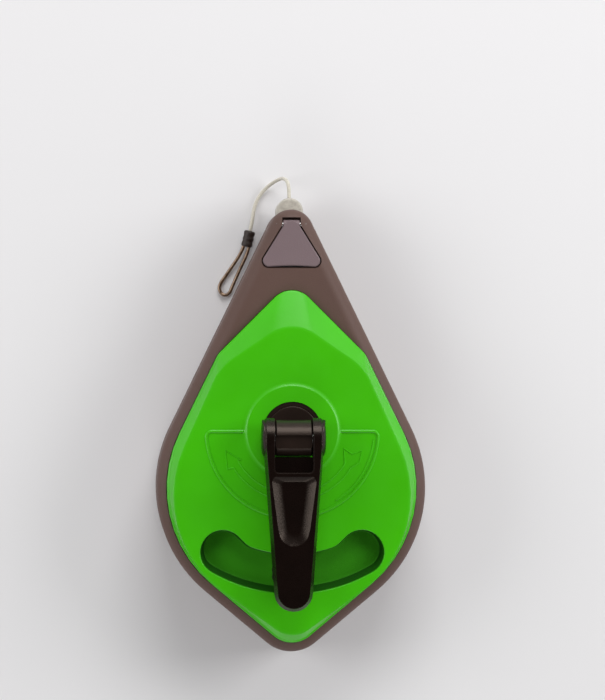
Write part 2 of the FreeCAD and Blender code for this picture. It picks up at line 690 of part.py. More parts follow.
def make_spool_pinion():
    """The pinion, its shaft through the deck and its square drive into the spool."""
    low = SPOOL_TOP.number
    teeth = int(dim.pinion_teeth.number)
    gap = math.pi / 2 + math.pi / teeth
    tall = dim.gear_top.number - dim.gear_low.number
    wheel = gear_face(teeth, gap).extrude(FreeCAD.Vector(0, 0, tall))
    wheel.translate(FreeCAD.Vector(0, 0, dim.gear_low.number))
    shaft = Part.makeCylinder(dim.shaft_rad.number, dim.gear_low.number - low,
                              FreeCAD.Vector(0, 0, low))
    drive = square_hole(dim.spool_square.number, low - 3, 3)
    bore = Part.makeCylinder(dim.axle_rad.number + dim.running_gap.number,
                             dim.gear_top.number + 1)
    pinion = doc.addObject("Part::Feature", "spool_pinion")
    pinion.Label = "spool_pinion"
    pinion.Shape = wheel.fuse([shaft, drive]).cut(bore)
    pinion.Placement.Base = FreeCAD.Vector(0, dim.spool_y.number, 0)
    subparts["spool_pinion"] = pinion


# --------------------------------------------------------------------- spool

def make_spool():
    bore = dim.axle_rad + dim.running_gap
    drum = new_body("spool_drum")
    revolve(drum, [
        (bore, dim.flange_low), (dim.flange_rad, dim.flange_low),
        (dim.flange_rad, SPOOL_FLANGE_TOP), (dim.drum_rad, SPOOL_FLANGE_TOP),
        (dim.drum_rad, WINDING_TOP), (dim.spigot_rad, WINDING_TOP),
        (dim.spigot_rad, SPOOL_TOP), (bore, SPOOL_TOP)])
    drive = new_sketch(drum, "XY_Plane", SPOOL_TOP)
    half = dim.spool_square / 2
    add_rectangle(drive, -half, half, -half, half)
    pocket(drum, drive, 3)
    move_to(drum, 0, dim.spool_y)
    ring("spool_front_flange", dim.spigot_rad, dim.flange_rad, WINDING_TOP, SPOOL_TOP,
         0, dim.spool_y)
    ring("wound_line", dim.drum_rad, dim.wound_rad, SPOOL_FLANGE_TOP, WINDING_TOP,
         0, dim.spool_y)
    ring("axle_washer", dim.axle_rad + dim.running_gap, dim.axle_boss_rad,
         dim.axle_boss_top, dim.thrust_top, 0, dim.spool_y)
    ring("deck_bush", dim.shaft_rad + dim.running_gap, dim.deck_bush_rad,
         dim.deck_low, dim.bearing_top, 0, dim.spool_y)
    ring("deck_felt_ring", dim.shaft_rad + dim.running_gap, dim.deck_boss_rad,
         dim.felt_ring_low, dim.deck_low, 0, dim.spool_y)
    axle = new_body("spool_axle")
    revolve(axle, [(0, dim.axle_low), (dim.axle_rad, dim.axle_low),
                   (dim.axle_rad, dim.axle_top), (0, dim.axle_top)])
    move_to(axle, 0, dim.spool_y)


# ----------------------------------------------------------- crank hub and arm

def make_crank_hub():
    hub = new_body("crank_hub")
    revolve(hub, [
        (0, dim.gear_top), (dim.collar_rad, dim.gear_top),
        (dim.collar_rad, dim.collar_top), (dim.hub_rad, dim.collar_top),
        (dim.hub_rad, dim.seal_groove_low), (dim.seal_groove_rad, dim.seal_groove_low),
        (dim.seal_groove_rad, dim.seal_groove_top), (dim.hub_rad, dim.seal_groove_top),
        (dim.hub_rad, dim.hub_top), (0, dim.hub_top)])
    square = new_sketch(hub, "XY_Plane", dim.gear_top)
    half = dim.drive_square / 2
    add_rectangle(square, -half, half, -half, half)
    pad(hub, square, dim.gear_top - dim.gear_low, down=True)
    neck = new_sketch(hub, "YZ_Plane")
    reach = dim.knuckle_rad
    add_rectangle(neck, dim.hinge_y - reach, dim.hinge_y + reach, dim.hub_top, dim.hinge_z)
    pad(hub, neck, 2 * dim.knuckle_half, both_ways=True)
    knuckle = new_sketch(hub, "YZ_Plane")
    add_circle(knuckle, dim.hinge_y, dim.hinge_z, reach)
    pad(hub, knuckle, 2 * dim.knuckle_half, both_ways=True)
    lug = new_sketch(hub, "YZ_Plane")
    add_rectangle(lug, dim.lug_end_y, dim.hinge_y, dim.lug_low, dim.lug_top)
    pad(hub, lug, 2 * dim.lug_half, both_ways=True)
    pin_hole = new_sketch(hub, "YZ_Plane")
    add_circle(pin_hole, dim.hinge_y, dim.hinge_z, dim.pin_rad)
    pocket(hub, pin_hole, 4 * dim.knuckle_half, both_ways=True)
    screw_hole = new_sketch(hub, "XY_Plane", dim.gear_low)
    add_circle(screw_hole, 0, 0, dim.hub_screw_rad)
    pocket(hub, screw_hole, dim.hub_screw_end - dim.gear_low, up=True)

    shoulder = new_body("hub_screw")
    washer_low = dim.bearing_top + 0.1
    revolve(shoulder, [
        (0, dim.journal_low), (dim.journal_rad, dim.journal_low),
        (dim.journal_rad, washer_low), (dim.hub_screw_rad, washer_low),
        (dim.hub_screw_rad, dim.hub_screw_end), (0, dim.hub_screw_end)])
    ring("gear_washer", dim.hub_screw_rad, dim.washer_rad, washer_low, dim.gear_low)
    ring("hub_bush", dim.bush_bore, dim.bush_rad, dim.bush_low, dim.bush_top)
    ring("hub_seal_ring", dim.seal_groove_rad, dim.hub_rad,
         dim.seal_groove_low, dim.seal_groove_top)
    pin = cylinder("hinge_pin", dim.pin_rad, 2 * dim.pin_half,
                   (-dim.pin_half, dim.hinge_y, dim.hinge_z), along="x")
    subparts["hinge_pin"] = pin


def add_arm_side(sketch):
    """The arm from the side: a round ear about the pin and a thin tapering blade."""
    y, z, r = dim.hinge_y.number, dim.hinge_z.number, dim.ear_rad.number
    under = dim.arm_under.number - z
    start = math.pi - math.asin(under / r)
    ear = Part.Circle(FreeCAD.Vector(y, z, 0), FreeCAD.Vector(0, 0, 1), r)
    sketch.addGeometry(Part.ArcOfCircle(ear, start, 2.5 * math.pi), False)
    end_y = dim.arm_end_y - dim.arm_end_rad
    corners = [
        (dim.hinge_y, dim.hinge_z + dim.ear_rad),
        (dim.arm_slope_y, dim.hinge_z + dim.ear_rad),
        (end_y, dim.arm_tip_z),
        (end_y, dim.arm_under),
    ]
    points = [FreeCAD.Vector(float(a), float(b), 0) for a, b in corners]
    points.append(FreeCAD.Vector(y + r * math.cos(start), dim.arm_under.number, 0))
    for i in range(4):
        sketch.addGeometry(Part.LineSegment(points[i], points[i + 1]), False)
    pin_point(sketch, 0, 3, dim.hinge_y, dim.hinge_z)
    drive(sketch, Sketcher.Constraint("Radius", 0, r), dim.ear_rad.text)
    sketch.addConstraint(Sketcher.Constraint("Tangent", 0, 2, 1, 1))
    for line in (1, 2, 3):
        sketch.addConstraint(Sketcher.Constraint("Coincident", line, 2, line + 1, 1))
    sketch.addConstraint(Sketcher.Constraint("Coincident", 4, 2, 0, 1))
    sketch.addConstraint(Sketcher.Constraint("Horizontal", 4))
    for line, corner in ((2, corners[1]), (3, corners[2]), (4, corners[3])):
        pin_point(sketch, line, 1, *corner)


def make_crank_arm():
    arm = new_body("crank_arm")
    side = new_sketch(arm, "YZ_Plane")
    add_arm_side(side)
    pad(arm, side, 2 * dim.arm_half, both_ways=True)
    top = dim.hinge_z + dim.ear_rad
    trim = new_sketch(arm, "XY_Plane", top)
    margin = 4
    add_rectangle(trim, -dim.arm_half - margin, dim.arm_half + margin,
                  dim.arm_end_y - dim.arm_end_rad - margin, dim.hinge_y + dim.ear_rad + margin)
    corner_x = dim.arm_half - dim.arm_corner
    add_hull(trim, [
        (0, dim.arm_end_y, dim.arm_end_rad),
        (corner_x, dim.arm_corner_y, dim.arm_corner),
        (-corner_x, dim.arm_corner_y, dim.arm_corner)])
    pocket(arm, trim, 3 * dim.ear_rad)
    slot = new_sketch(arm, "XY_Plane", top)
    add_rectangle(slot, -dim.slot_half, dim.slot_half,
                  dim.window_end_y, dim.hinge_y + dim.ear_rad + margin)
    pocket(arm, slot, 3 * dim.ear_rad)
    scoop = new_sketch(arm, "XY_Plane", top)
    scoop_end = dim.scoop_end_y + dim.scoop_half
    add_hull(scoop, [
        (0, scoop_end, dim.scoop_half),
        (dim.scoop_half - 1, dim.scoop_start_y - 1, 1),
        (-dim.scoop_half + 1, dim.scoop_start_y - 1, 1)])
    pocket(arm, scoop, dim.scoop_deep)
    pin_hole = new_sketch(arm, "YZ_Plane")
    add_circle(pin_hole, dim.hinge_y, dim.hinge_z, dim.pin_rad + dim.running_gap)
    pocket(arm, pin_hole, 3 * dim.arm_half, both_ways=True)
    rivet_hole = new_sketch(arm, "XY_Plane", dim.arm_under)
    add_circle(rivet_hole, 0, dim.knob_y, dim.rivet_rad)
    pocket(arm, rivet_hole, 1.6, up=True)

    knob = new_body("crank_knob")
    bore = dim.rivet_rad + dim.running_gap
    revolve(knob, [
        (bore, dim.rivet_head_top + 0.1), (dim.rivet_head_rad + 0.3, dim.rivet_head_top + 0.1),
        (dim.rivet_head_rad + 0.3, dim.knob_low), (dim.knob_rad - 1, dim.knob_low),
        (dim.knob_rad, dim.knob_low + 1), (dim.knob_rad, dim.knob_low + 2.2),
        (dim.knob_neck, dim.knob_top - 1.5), (dim.knob_neck, dim.knob_top), (bore, dim.knob_top)])
    move_to(knob, 0, dim.knob_y)
    rivet = new_body("knob_rivet")
    revolve(rivet, [
        (0, dim.rivet_head_low), (dim.rivet_head_rad, dim.rivet_head_low),
        (dim.rivet_head_rad, dim.rivet_head_top), (dim.rivet_rad, dim.rivet_head_top),
        (dim.rivet_rad, dim.arm_under + 1.6), (0, dim.arm_under + 1.6)])
    move_to(rivet, 0, dim.knob_y)
    ring("knob_washer", dim.rivet_rad, dim.knob_washer_rad, dim.knob_top + 0.1,
         dim.arm_under, 0, dim.knob_y)


# ----------------------------------------------------------------- fill door

def make_fill_door():
    door = new_body("fill_door")
    pad(door, outline(door, DOOR, 0, dim.face_z), dim.door_thick, down=True)
    beyond = new_sketch(door, "XY_Plane", dim.face_z)
    add_rectangle(beyond, -dim.door_side_x, dim.door_side_x, dim.door_pin_y,
                  dim.door_top_y + 2 * dim.door_top_rad)
    pocket(door, beyond, dim.door_thick)
    knuckle = new_sketch(door, "YZ_Plane")
    add_circle(knuckle, dim.door_pin_y, dim.door_pin_z, dim.door_knuckle_rad)
    pad(door, knuckle, 2 * dim.door_knuckle_half, both_ways=True)
    corners = new_sketch(door, "XY_Plane", dim.face_z)
    for side in (-1, 1):
        inner = side * dim.door_knuckle_half
        outer = side * (dim.door_top_rad + 1)
        add_rectangle(corners, *sorted((inner, outer), key=float), dim.door_well_start,
                      dim.door_pin_y + 1)
    pocket(door, corners, dim.door_thick)
    pin_hole = new_sketch(door, "YZ_Plane")
    add_circle(pin_hole, dim.door_pin_y, dim.door_pin_z, dim.door_pin_rad + dim.running_gap)
    pocket(door, pin_hole, 4 * dim.door_knuckle_half, both_ways=True)

    gasket = new_body("door_gasket")
    sketch = outline(gasket, PORT, dim.port_seal_out, dim.face_z - dim.door_thick)
    add_hull(sketch, PORT, dim.port_seal_in)
    pad(gasket, sketch, dim.port_seal_deep, down=True)
    pin = cylinder("door_pin", dim.door_pin_rad, 2 * dim.door_pin_half,
                   (-dim.door_pin_half, dim.door_pin_y, dim.door_pin_z), along="x")
    subparts["door_pin"] = pin


# ------------------------------------------------------- mouth, line and hook

def make_felt(label, low, high):
    """One half of the felt mouth: a tongue with a groove for the line."""
    felt = new_body(label)
    tongue = new_sketch(felt, "XY_Plane", low)
    corner = 2
    add_hull(tongue, [
        (-dim.mouth_half + corner, dim.felt_start + corner, corner),
        (dim.mouth_half - corner, dim.felt_start + corner, corner),
        (0, dim.felt_tip - dim.mouth_half, dim.mouth_half - 0.01)])
    pad(felt, tongue, high - low)
    groove = new_sketch(felt, "XZ_Plane")
    add_circle(groove, 0, dim.parting, dim.line_rad)
    pocket(felt, groove, 2 * dim.felt_tip + 4, both_ways=True)


def make_mouth():
    guide = new_body("mouth_guide")
    plate = new_sketch(guide, "XY_Plane", dim.mouth_low)
    add_rectangle(plate, -dim.mouth_half, dim.mouth_half, dim.mouth_start, dim.felt_start)
    pad(guide, plate, dim.mouth_top - dim.mouth_low)
    eye = new_sketch(guide, "XZ_Plane")
    add_circle(eye, 0, dim.parting, 2 * dim.line_rad)
    pocket(guide, eye, 2 * dim.felt_tip, both_ways=True)
    make_felt("felt_rear", dim.mouth_low, dim.parting)
    make_felt("felt_front", dim.parting, dim.mouth_top)


def rounded_path(points, radii=None):
    """Straight runs joined by tangent arcs, as large as the runs beside them allow."""
    corners = [FreeCAD.Vector(*p) for p in points]
    edges = []
    start = corners[0]
    for i in range(1, len(corners) - 1):
        before, here, after = corners[i - 1], corners[i], corners[i + 1]
        arrive = (here - before).normalize()
        leave = (after - here).normalize()
        turn = arrive.getAngle(leave)
        run = min((here - before).Length, (after - here).Length)
        radius = 0.45 * run / math.tan(turn / 2)
        if radii is not None:
            radius = min(radius, radii)
        setback = radius * math.tan(turn / 2)
        first, last = here - arrive * setback, here + leave * setback
        toward = (leave - arrive).normalize()
        middle = here + toward * (radius / math.cos(turn / 2) - radius)
        edges.append(Part.LineSegment(start, first).toShape())
        edges.append(Part.Arc(first, middle, last).toShape())
        start = last
        if radii is None:
            print(f"  bend {i}: radius {radius:.1f} mm, turn {math.degrees(turn):.0f} degrees")
    edges.append(Part.LineSegment(start, corners[-1]).toShape())
    return Part.Wire(edges)


def tube(label, points, radius, radii=None):
    """A round line or wire along a path, with its volume checked."""
    path = rounded_path(points, radii)
    first = FreeCAD.Vector(*points[0])
    heading = (FreeCAD.Vector(*points[1]) - first).normalize()
    ring_wire = Part.Wire(Part.makeCircle(radius, first, heading))
    solid = path.makePipeShell([ring_wire], True, False)
    expected = math.pi * radius ** 2 * path.Length
    if abs(solid.Volume - expected) > 0.02 * expected:
        raise RuntimeError(f"{label}: the tube's volume is {solid.Volume}, not {expected}")
    part = doc.addObject("Part::Feature", label)
    part.Label = label
    part.Shape = solid
    subparts[label] = part
    print(f"{label}: {path.Length:.1f} mm long")
    return part


HOOK_BEND = 1.0

# Where the line hangs free: out of the felt, down to the surface and round to the hook.
FREE_LINE = [
    (0, 68.6, 12.0), (0, 71.8, 12.0), (-0.6, 74.0, 9.6), (-1.9, 74.6, 6.2),
    (-3.8, 73.8, 3.1), (-6.3, 72.0, 1.3), (-8.6, 69.3, 0.8), (-10.0, 65.9, 1.0),
    (-10.4, 62.4, 2.0), (-11.2, 59.0, 2.0),
]


def make_line():
    """The line from the spool through the mouth to the hook."""
    mouth_y = dim.mouth_start.number
    spool = (0, dim.spool_y.number)
    reach = dim.wound_rad.number + dim.line_rad.number + 0.3
    distance = mouth_y - spool[1]
    angle = math.acos(reach / distance)
    leave = (reach * math.sin(angle), spool[1] + reach * math.cos(angle))
    height = dim.parting.number
    tube("line_inside", [(leave[0], leave[1], height), (0, mouth_y, height),
                         (0, dim.felt_tip.number, height)], dim.line_rad.number, 12.0)
    tube("line_free_end", FREE_LINE, dim.line_rad.number)

    end, before = FreeCAD.Vector(*FREE_LINE[-1]), FreeCAD.Vector(*FREE_LINE[-2])
    heading = (end - before).normalize()
    ferrule = doc.addObject("Part::Feature", "line_ferrule")
    ferrule.Label = "line_ferrule"
    ferrule.Shape = Part.makeCylinder(dim.ferrule_rad.number, dim.ferrule_long.number,
                                      end, heading)
    subparts["line_ferrule"] = ferrule
    make_hook(end + heading * dim.ferrule_long.number, heading)


def make_hook(root, heading):
    """One wire folded into a long narrow loop, with its end bent to a claw."""
    across = FreeCAD.Vector(-heading.y, heading.x, 0)
    left, right = root - across * 0.8, root + across * 0.8
    wire = [
        tuple(left), tuple(left + heading * 1.6), (-20.6, 42.6, 0.6),
        (-18.7, 39.6, 0.9), (-16.8, 41.4, 1.2), tuple(right + heading * 1.6), tuple(right),
    ]
    tube("line_hook", wire, dim.wire_rad.number, HOOK_BEND)


# --------------------------------------------------------------------- build

make_back_case()
make_front_case()
make_case_gasket()
make_screws()
make_face_cover()
make_drive_gear()
make_spool_pinion()
make_spool()
make_crank_hub()
make_crank_arm()
make_fill_door()
make_mouth()
make_line()
doc.recompute()

for item in doc.Objects:
    if "Invalid" in item.State or "Error" in item.State:
        raise RuntimeError(f"{item.Label} did not build: {item.State}")
os.makedirs("parts", exist_ok=True)
for label, item in subparts.items():
    shape = item.Shape
    if shape.isNull() or not shape.isValid() or not shape.Solids:
        raise RuntimeError(f"{label} has no valid solid")
    shape.exportStep(f"parts/{label}.step")
print(f"{len(subparts)} sub-parts written")
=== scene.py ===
import math
import json
import bmesh
import bpy
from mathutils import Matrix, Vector


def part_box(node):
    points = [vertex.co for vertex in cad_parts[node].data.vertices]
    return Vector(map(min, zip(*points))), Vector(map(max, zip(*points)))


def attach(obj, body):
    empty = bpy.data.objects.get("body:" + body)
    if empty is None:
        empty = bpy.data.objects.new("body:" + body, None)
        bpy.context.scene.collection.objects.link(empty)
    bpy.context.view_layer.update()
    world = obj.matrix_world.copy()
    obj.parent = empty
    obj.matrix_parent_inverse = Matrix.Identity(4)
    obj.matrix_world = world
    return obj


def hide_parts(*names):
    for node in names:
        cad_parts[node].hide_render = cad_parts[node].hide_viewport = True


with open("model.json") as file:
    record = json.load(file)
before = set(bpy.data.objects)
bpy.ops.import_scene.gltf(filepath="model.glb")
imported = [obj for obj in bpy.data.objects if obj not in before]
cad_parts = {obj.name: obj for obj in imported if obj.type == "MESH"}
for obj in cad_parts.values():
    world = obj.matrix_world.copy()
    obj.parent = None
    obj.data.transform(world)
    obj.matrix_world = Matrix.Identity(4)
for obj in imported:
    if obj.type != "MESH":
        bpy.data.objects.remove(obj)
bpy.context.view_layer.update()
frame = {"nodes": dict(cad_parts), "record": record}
NODES = frame["nodes"]
MM = 0.001


# ---------------------------------------------------------------------------
# Camera. It looks straight down on the reel, which lies on its back, from a
# little to the left, through a long lens.

VIEW_TILT = math.radians(2.7)
VIEW_DISTANCE = 1.25
VIEW_TALL = 205.5 * MM
AIM = Vector((3.6 * MM, 23.6 * MM, 20 * MM))

camera_data = bpy.data.cameras.new("camera")
camera = bpy.data.objects.new("camera", camera_data)
bpy.context.scene.collection.objects.link(camera)
camera_data.sensor_width = 36
camera_data.lens = camera_data.sensor_width * VIEW_DISTANCE / VIEW_TALL
camera_data.clip_start = 0.01
camera.location = AIM + VIEW_DISTANCE * Vector((-math.sin(VIEW_TILT), 0, math.cos(VIEW_TILT)))
camera.rotation_euler = (0, -VIEW_TILT, 0)
bpy.context.scene.camera = camera


# ---------------------------------------------------------------------------
# Free end of the line. Braided cotton about a millimetre thick, drawn through
# the felt. It drops out of the mouth and curls back beside the nose to a
# crimped ferrule.

LINE_RADIUS = 0.55 * MM
LINE_ROUTE = [
    (0, 68.6, 12.0), (0, 71.8, 12.0), (-0.6, 74.0, 9.6), (-1.9, 74.6, 6.2),
    (-3.8, 73.8, 3.1), (-6.3, 72.0, 1.3), (-8.6, 69.3, 0.8), (-10.0, 65.9, 1.0),
    (-10.4, 62.4, 2.0), (-11.2, 59.0, 2.0),
]
BRAID_PITCH = 2.4 * MM
BRAID_STRANDS = 8


def spline_curve(name, route):
    """A curve with no thickness whose smooth line is drawn by control points in mm."""
    data = bpy.data.curves.new(name, "CURVE")
    data.dimensions = "3D"
    spline = data.splines.new("NURBS")
    spline.points.add(len(route) - 1)
    for point, place in zip(spline.points, route):
        point.co = (*(Vector(place) * MM), 1)
    spline.order_u = 3
    spline.use_endpoint_u = True
    spline.resolution_u = 16
    guide = bpy.data.objects.new(name, data)
    bpy.context.scene.collection.objects.link(guide)
    bpy.context.view_layer.update()
    return guide


def spline_points(guide):
    """The points along a curve's line, and the curve is then removed."""
    shape = bpy.data.meshes.new_from_object(guide)
    points = [v.co.copy() for v in shape.vertices]
    bpy.data.meshes.remove(shape)
    bpy.data.objects.remove(guide)
    return points


def even_steps(points, step):
    """Points the same distance apart along a line of points."""
    length = sum((b - a).length for a, b in zip(points, points[1:]))
    count = max(2, round(length / step))
    places, travelled, wanted = [points[0]], 0.0, length / count
    for a, b in zip(points, points[1:]):
        run = (b - a).length
        while run > 0 and travelled + run >= wanted and len(places) < count:
            places.append(a.lerp(b, (wanted - travelled) / run))
            wanted += length / count
        travelled += run
    places.append(points[-1])
    return places


def swept(name, path, sides, profile):
    """A tube along a path: profile(along, around) gives its radius in metres."""
    verts, faces, across = [], [], None
    lengths = [0.0]
    for a, b in zip(path, path[1:]):
        lengths.append(lengths[-1] + (b - a).length)
    for i, here in enumerate(path):
        ahead = path[min(i + 1, len(path) - 1)] - path[max(i - 1, 0)]
        ahead.normalize()
        if across is None:
            across = ahead.orthogonal().normalized()
        across = (across - ahead * across.dot(ahead)).normalized()
        other = ahead.cross(across)
        for k in range(sides):
            turn = 2 * math.pi * k / sides
            radius = profile(lengths[i], turn)
            verts.append(here + radius * (math.cos(turn) * across + math.sin(turn) * other))
    for i in range(len(path) - 1):
        for k in range(sides):
            n = (k + 1) % sides
            faces.append((i * sides + k, i * sides + n, (i + 1) * sides + n, (i + 1) * sides + k))
    faces.append(tuple(reversed(range(sides))))
    faces.append(tuple(range((len(path) - 1) * sides, len(path) * sides)))
    shape = bpy.data.meshes.new(name)
    shape.from_pydata(verts, [], faces)
    shape.polygons.foreach_set("use_smooth", [True] * len(faces))
    piece = bpy.data.objects.new(name, shape)
    bpy.context.scene.collection.objects.link(piece)
    return piece


def braid(along, around):
    """The radius of a round braid, whose strands cross in both directions."""
    twist = 2 * math.pi * along / BRAID_PITCH
    half = BRAID_STRANDS / 2
    left = abs(math.cos(half / 2 * (around + twist)))
    right = abs(math.cos(half / 2 * (around - twist)))
    return LINE_RADIUS * (0.86 + 0.14 * max(left, right))


class Link:
    """A shader socket that arithmetic turns into Math nodes."""

    def __init__(self, nodes, socket):
        self.nodes, self.socket = nodes, socket

    def math(self, operation, other=0.0, flipped=False):
        pair = [other, self] if flipped else [self, other]
        return self.nodes.add("ShaderNodeMath", {"operation": operation}, dict(enumerate(pair)))

    def __add__(self, other):
        return self.math("ADD", other)

    def __radd__(self, other):
        return self.math("ADD", other)

    def __sub__(self, other):
        return self.math("SUBTRACT", other)

    def __rsub__(self, other):
        return self.math("SUBTRACT", other, flipped=True)

    def __mul__(self, other):
        return self.math("MULTIPLY", other)

    def __rmul__(self, other):
        return self.math("MULTIPLY", other)


class Nodes:
    """A node tree, to which one method adds every node."""

    def __init__(self, tree):
        self.tree = tree

    def add(self, kind, settings=None, inputs=None, output=0):
        node = self.tree.nodes.new(kind)
        for name, value in (settings or {}).items():
            if name == "stops":
                ramp = node.color_ramp
                while len(ramp.elements) < len(value):
                    ramp.elements.new(0.5)
                for element, (place, colour) in zip(ramp.elements, value):
                    element.position, element.color = place, colour
            else:
                setattr(node, name, value)
        for socket, value in (inputs or {}).items():
            if isinstance(value, Link):
                self.tree.links.new(value.socket, node.inputs[socket])
            else:
                node.inputs[socket].default_value = value
        return Link(self, node.outputs[output])

    def ramp(self, factor, *stops):
        return self.add("ShaderNodeValToRGB", {"stops": stops}, {"Fac": factor})


class Finish(Nodes):
    """One material on a Principled shader."""

    def __init__(self, name, **constants):
        self.material = bpy.data.materials.new(name)
        self.material.use_nodes = True
        super().__init__(self.material.node_tree)
        self.shader = self.tree.nodes["Principled BSDF"]
        for socket, value in constants.items():
            self.shader.inputs[socket.replace("_", " ")].default_value = value

    def place(self):
        return self.add("ShaderNodeTexCoord", output=3)

    def noise(self, scale, detail=2.0, roughness=0.5):
        return self.add("ShaderNodeTexNoise", {}, {
            "Vector": self.place(), "Scale": scale, "Detail": detail, "Roughness": roughness})

    def shades(self, pattern, dark, light):
        """A colour that follows a pattern between two tones."""
        return self.ramp(pattern, (0.3, dark), (0.7, light))

    def mix(self, factor, first, second):
        return self.add("ShaderNodeMix", {"data_type": "RGBA"},
                        {0: factor, 6: first, 7: second}, output=2)

    def feed(self, socket, link):
        self.tree.links.new(link.socket, self.shader.inputs[socket])

    def bump(self, height, distance):
        self.feed("Normal", self.add("ShaderNodeBump", {}, {
            "Height": height, "Distance": distance, "Strength": 1.0}))


def tone(colour, scale=1.0):
    """A colour made lighter or darker, with its alpha."""
    return tuple(min(c * scale, 1) for c in colour[:3]) + (1,)


COTTON = (0.7, 0.66, 0.56)


def cotton():
    finish = Finish("braided_cotton", Roughness=0.85, Sheen_Weight=0.5)
    strands = finish.noise(2600, 2)
    fibres = finish.noise(12000, 2)
    finish.feed("Base Color", finish.shades(
        strands * 0.5 + fibres * 0.5, tone(COTTON, 0.66), tone(COTTON, 1.1)))
    finish.bump(fibres, 0.00004)
    return finish.material


def keep(piece, body, slot, material, *nodes):
    """Gives a finished piece its material and body, and hides the nodes it stands for. The slot is
    not used.
    """
    piece.data.materials.clear()
    piece.data.materials.append(material)
    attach(piece, body)
    if nodes:
        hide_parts(*nodes)


line_path = spline_points(spline_curve("line_guide", LINE_ROUTE))
line_end = swept("line_end", even_steps(line_path, 0.15 * MM), 32, braid)
cotton_finish = cotton()
keep(line_end, "case", "braided_line", cotton_finish, "line_free_end")


# ---------------------------------------------------------------------------
# Ferrule and hook. A dark crimped sleeve holds the line to a hook bent from
# one bronzed spring wire, a long narrow loop with its end turned to a claw.

FERRULE_LONG = 4.8 * MM
FERRULE_RADIUS = 1.65 * MM
FERRULE_STEPS = 40
END_ROUND, END_DROP = 0.5 * MM, 0.35 * MM
CRIMPS = (0.35, 0.65)
CRIMP_WIDE, CRIMP_DEEP = 0.45 * MM, 0.22 * MM
SLEEVE_BROWN = (0.016, 0.01, 0.008)
WIRE_RADIUS = 0.5 * MM
WIRE_APART = 0.8 * MM
WIRE_SUNK, WIRE_STRAIGHT = 0.6 * MM, 1.6 * MM
HOOK_BEND = [
    (-18.2, 46.0, 0.9), (-20.5, 42.8, 0.6), (-20.0, 40.6, 0.7), (-18.6, 39.7, 0.9),
    (-17.2, 40.6, 1.1), (-16.6, 42.2, 1.2), (-14.4, 47.2, 1.6),
]
TARNISHED = (0.2, 0.13, 0.09)
RUBBED_BRONZE = (0.42, 0.3, 0.21)


def crimped(along, around):
    """The sleeve's radius: rounded ends and two crimps across its middle."""
    near_end = min(along, FERRULE_LONG - along)
    radius = FERRULE_RADIUS - END_DROP * max(0, 1 - near_end / END_ROUND) ** 2
    for place in CRIMPS:
        gap = (along - place * FERRULE_LONG) / CRIMP_WIDE
        radius -= CRIMP_DEEP * math.exp(-gap * gap) * (0.6 + 0.4 * math.cos(2 * around))
    return radius


line_heading = (line_path[-1] - line_path[-2]).normalized()
ferrule_path = [line_path[-1] + line_heading * FERRULE_LONG * k / FERRULE_STEPS
                for k in range(FERRULE_STEPS + 1)]
ferrule = swept("ferrule", ferrule_path, 40, crimped)


def wire_at(side, along):
    """A point in mm of one of the wire's two ends, along from the ferrule's mouth."""
    apart = Vector((-line_heading.y, line_heading.x, 0)) * side * WIRE_APART
    return (ferrule_path[-1] + apart + along * line_heading) / MM


hook_points = [wire_at(-1, -WIRE_SUNK), wire_at(-1, WIRE_STRAIGHT), *HOOK_BEND,
               wire_at(1, WIRE_STRAIGHT), wire_at(1, -WIRE_SUNK)]
hook_path = spline_points(spline_curve("hook_guide", hook_points))
hook = swept("hook", even_steps(hook_path, 0.25 * MM), 20, lambda along, around: WIRE_RADIUS)


def dark_sleeve():
    finish = Finish("ferrule_brown", Roughness=0.5)
    grain = finish.noise(3000, 3)
    finish.feed("Base Color", finish.shades(grain, tone(SLEEVE_BROWN), tone(SLEEVE_BROWN, 2)))
    finish.bump(grain, 0.00004)
    return finish.material


def bronzed_wire():
    finish = Finish("hook_bronze", Metallic=1.0)
    tarnish = finish.noise(700, 4)
    scratches = finish.noise(5200, 2)
    finish.feed("Base Color", finish.shades(tarnish, tone(TARNISHED), tone(RUBBED_BRONZE)))
    finish.feed("Roughness", scratches * 0.2 + 0.22)
    finish.bump(scratches, 0.00001)
    return finish.material


keep(ferrule, "case", "ferrule_plastic", dark_sleeve(), "line_ferrule")
keep(hook, "case", "hook_wire", bronzed_wire(), "line_hook")


# ---------------------------------------------------------------------------
# Case. Two deep shells in warm dark grey plastic with a fine eroded grain,
# screwed together from the back with a seal in the joint. They keep their
# designed shape, so only their finish is made here.

CASE_GREY = (0.116, 0.067, 0.055)


def grained_grey(name, colour, lowest):
    finish = Finish(name, Specular_IOR_Level=0.28)
    drift = finish.noise(45, 4)
    grain = finish.noise(3600, 3, 0.65)
    base = finish.shades(drift, tone(colour, 0.94), tone(colour, 1.05))
    finish.feed("Base Color", finish.mix(grain * 0.4, base, tone(colour, 0.75)))
    finish.feed("Roughness", grain * 0.18 + lowest)
    finish.bump(grain, 0.00006)
    return finish.material


case_finish = grained_grey("case_grey", CASE_GREY, 0.42)


# ---------------------------------------------------------------------------
# Face cover. Bright green moulding with a soft sheen. A sloping band runs from
# its edge up to a flat crown, which carries a round boss for the crank, a half
# round panel with a turning arrow, and a bent recess for the fingers.

BOSS_TALL = 0.8
CROWN_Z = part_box("face_cover")[1].z / MM - BOSS_TALL
SKIRT_LAP = 2
SKIRT_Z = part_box("front_case")[1].z / MM - SKIRT_LAP
SKIRT_TALL = 3.6
EDGE_Z = SKIRT_Z + SKIRT_TALL
SIDE_WALL, CROWN_WALL = 2.2, 2
GREEN = (0.052, 0.49, 0.001)
COVER = [(0, -53.5, 8.1), (0, -16.6, 36.4), (16.54, 18.86, 6), (0, 34, 7),
         (-16.54, 18.86, 6), (0, -16.6, 36.4)]
CROWN = [(0, -51.5, 7.5), (0, -18.5, 34.3), (8.8, 8.8, 15), (0, 18.4, 12),
         (-8.8, 8.8, 15), (0, -18.5, 34.3)]


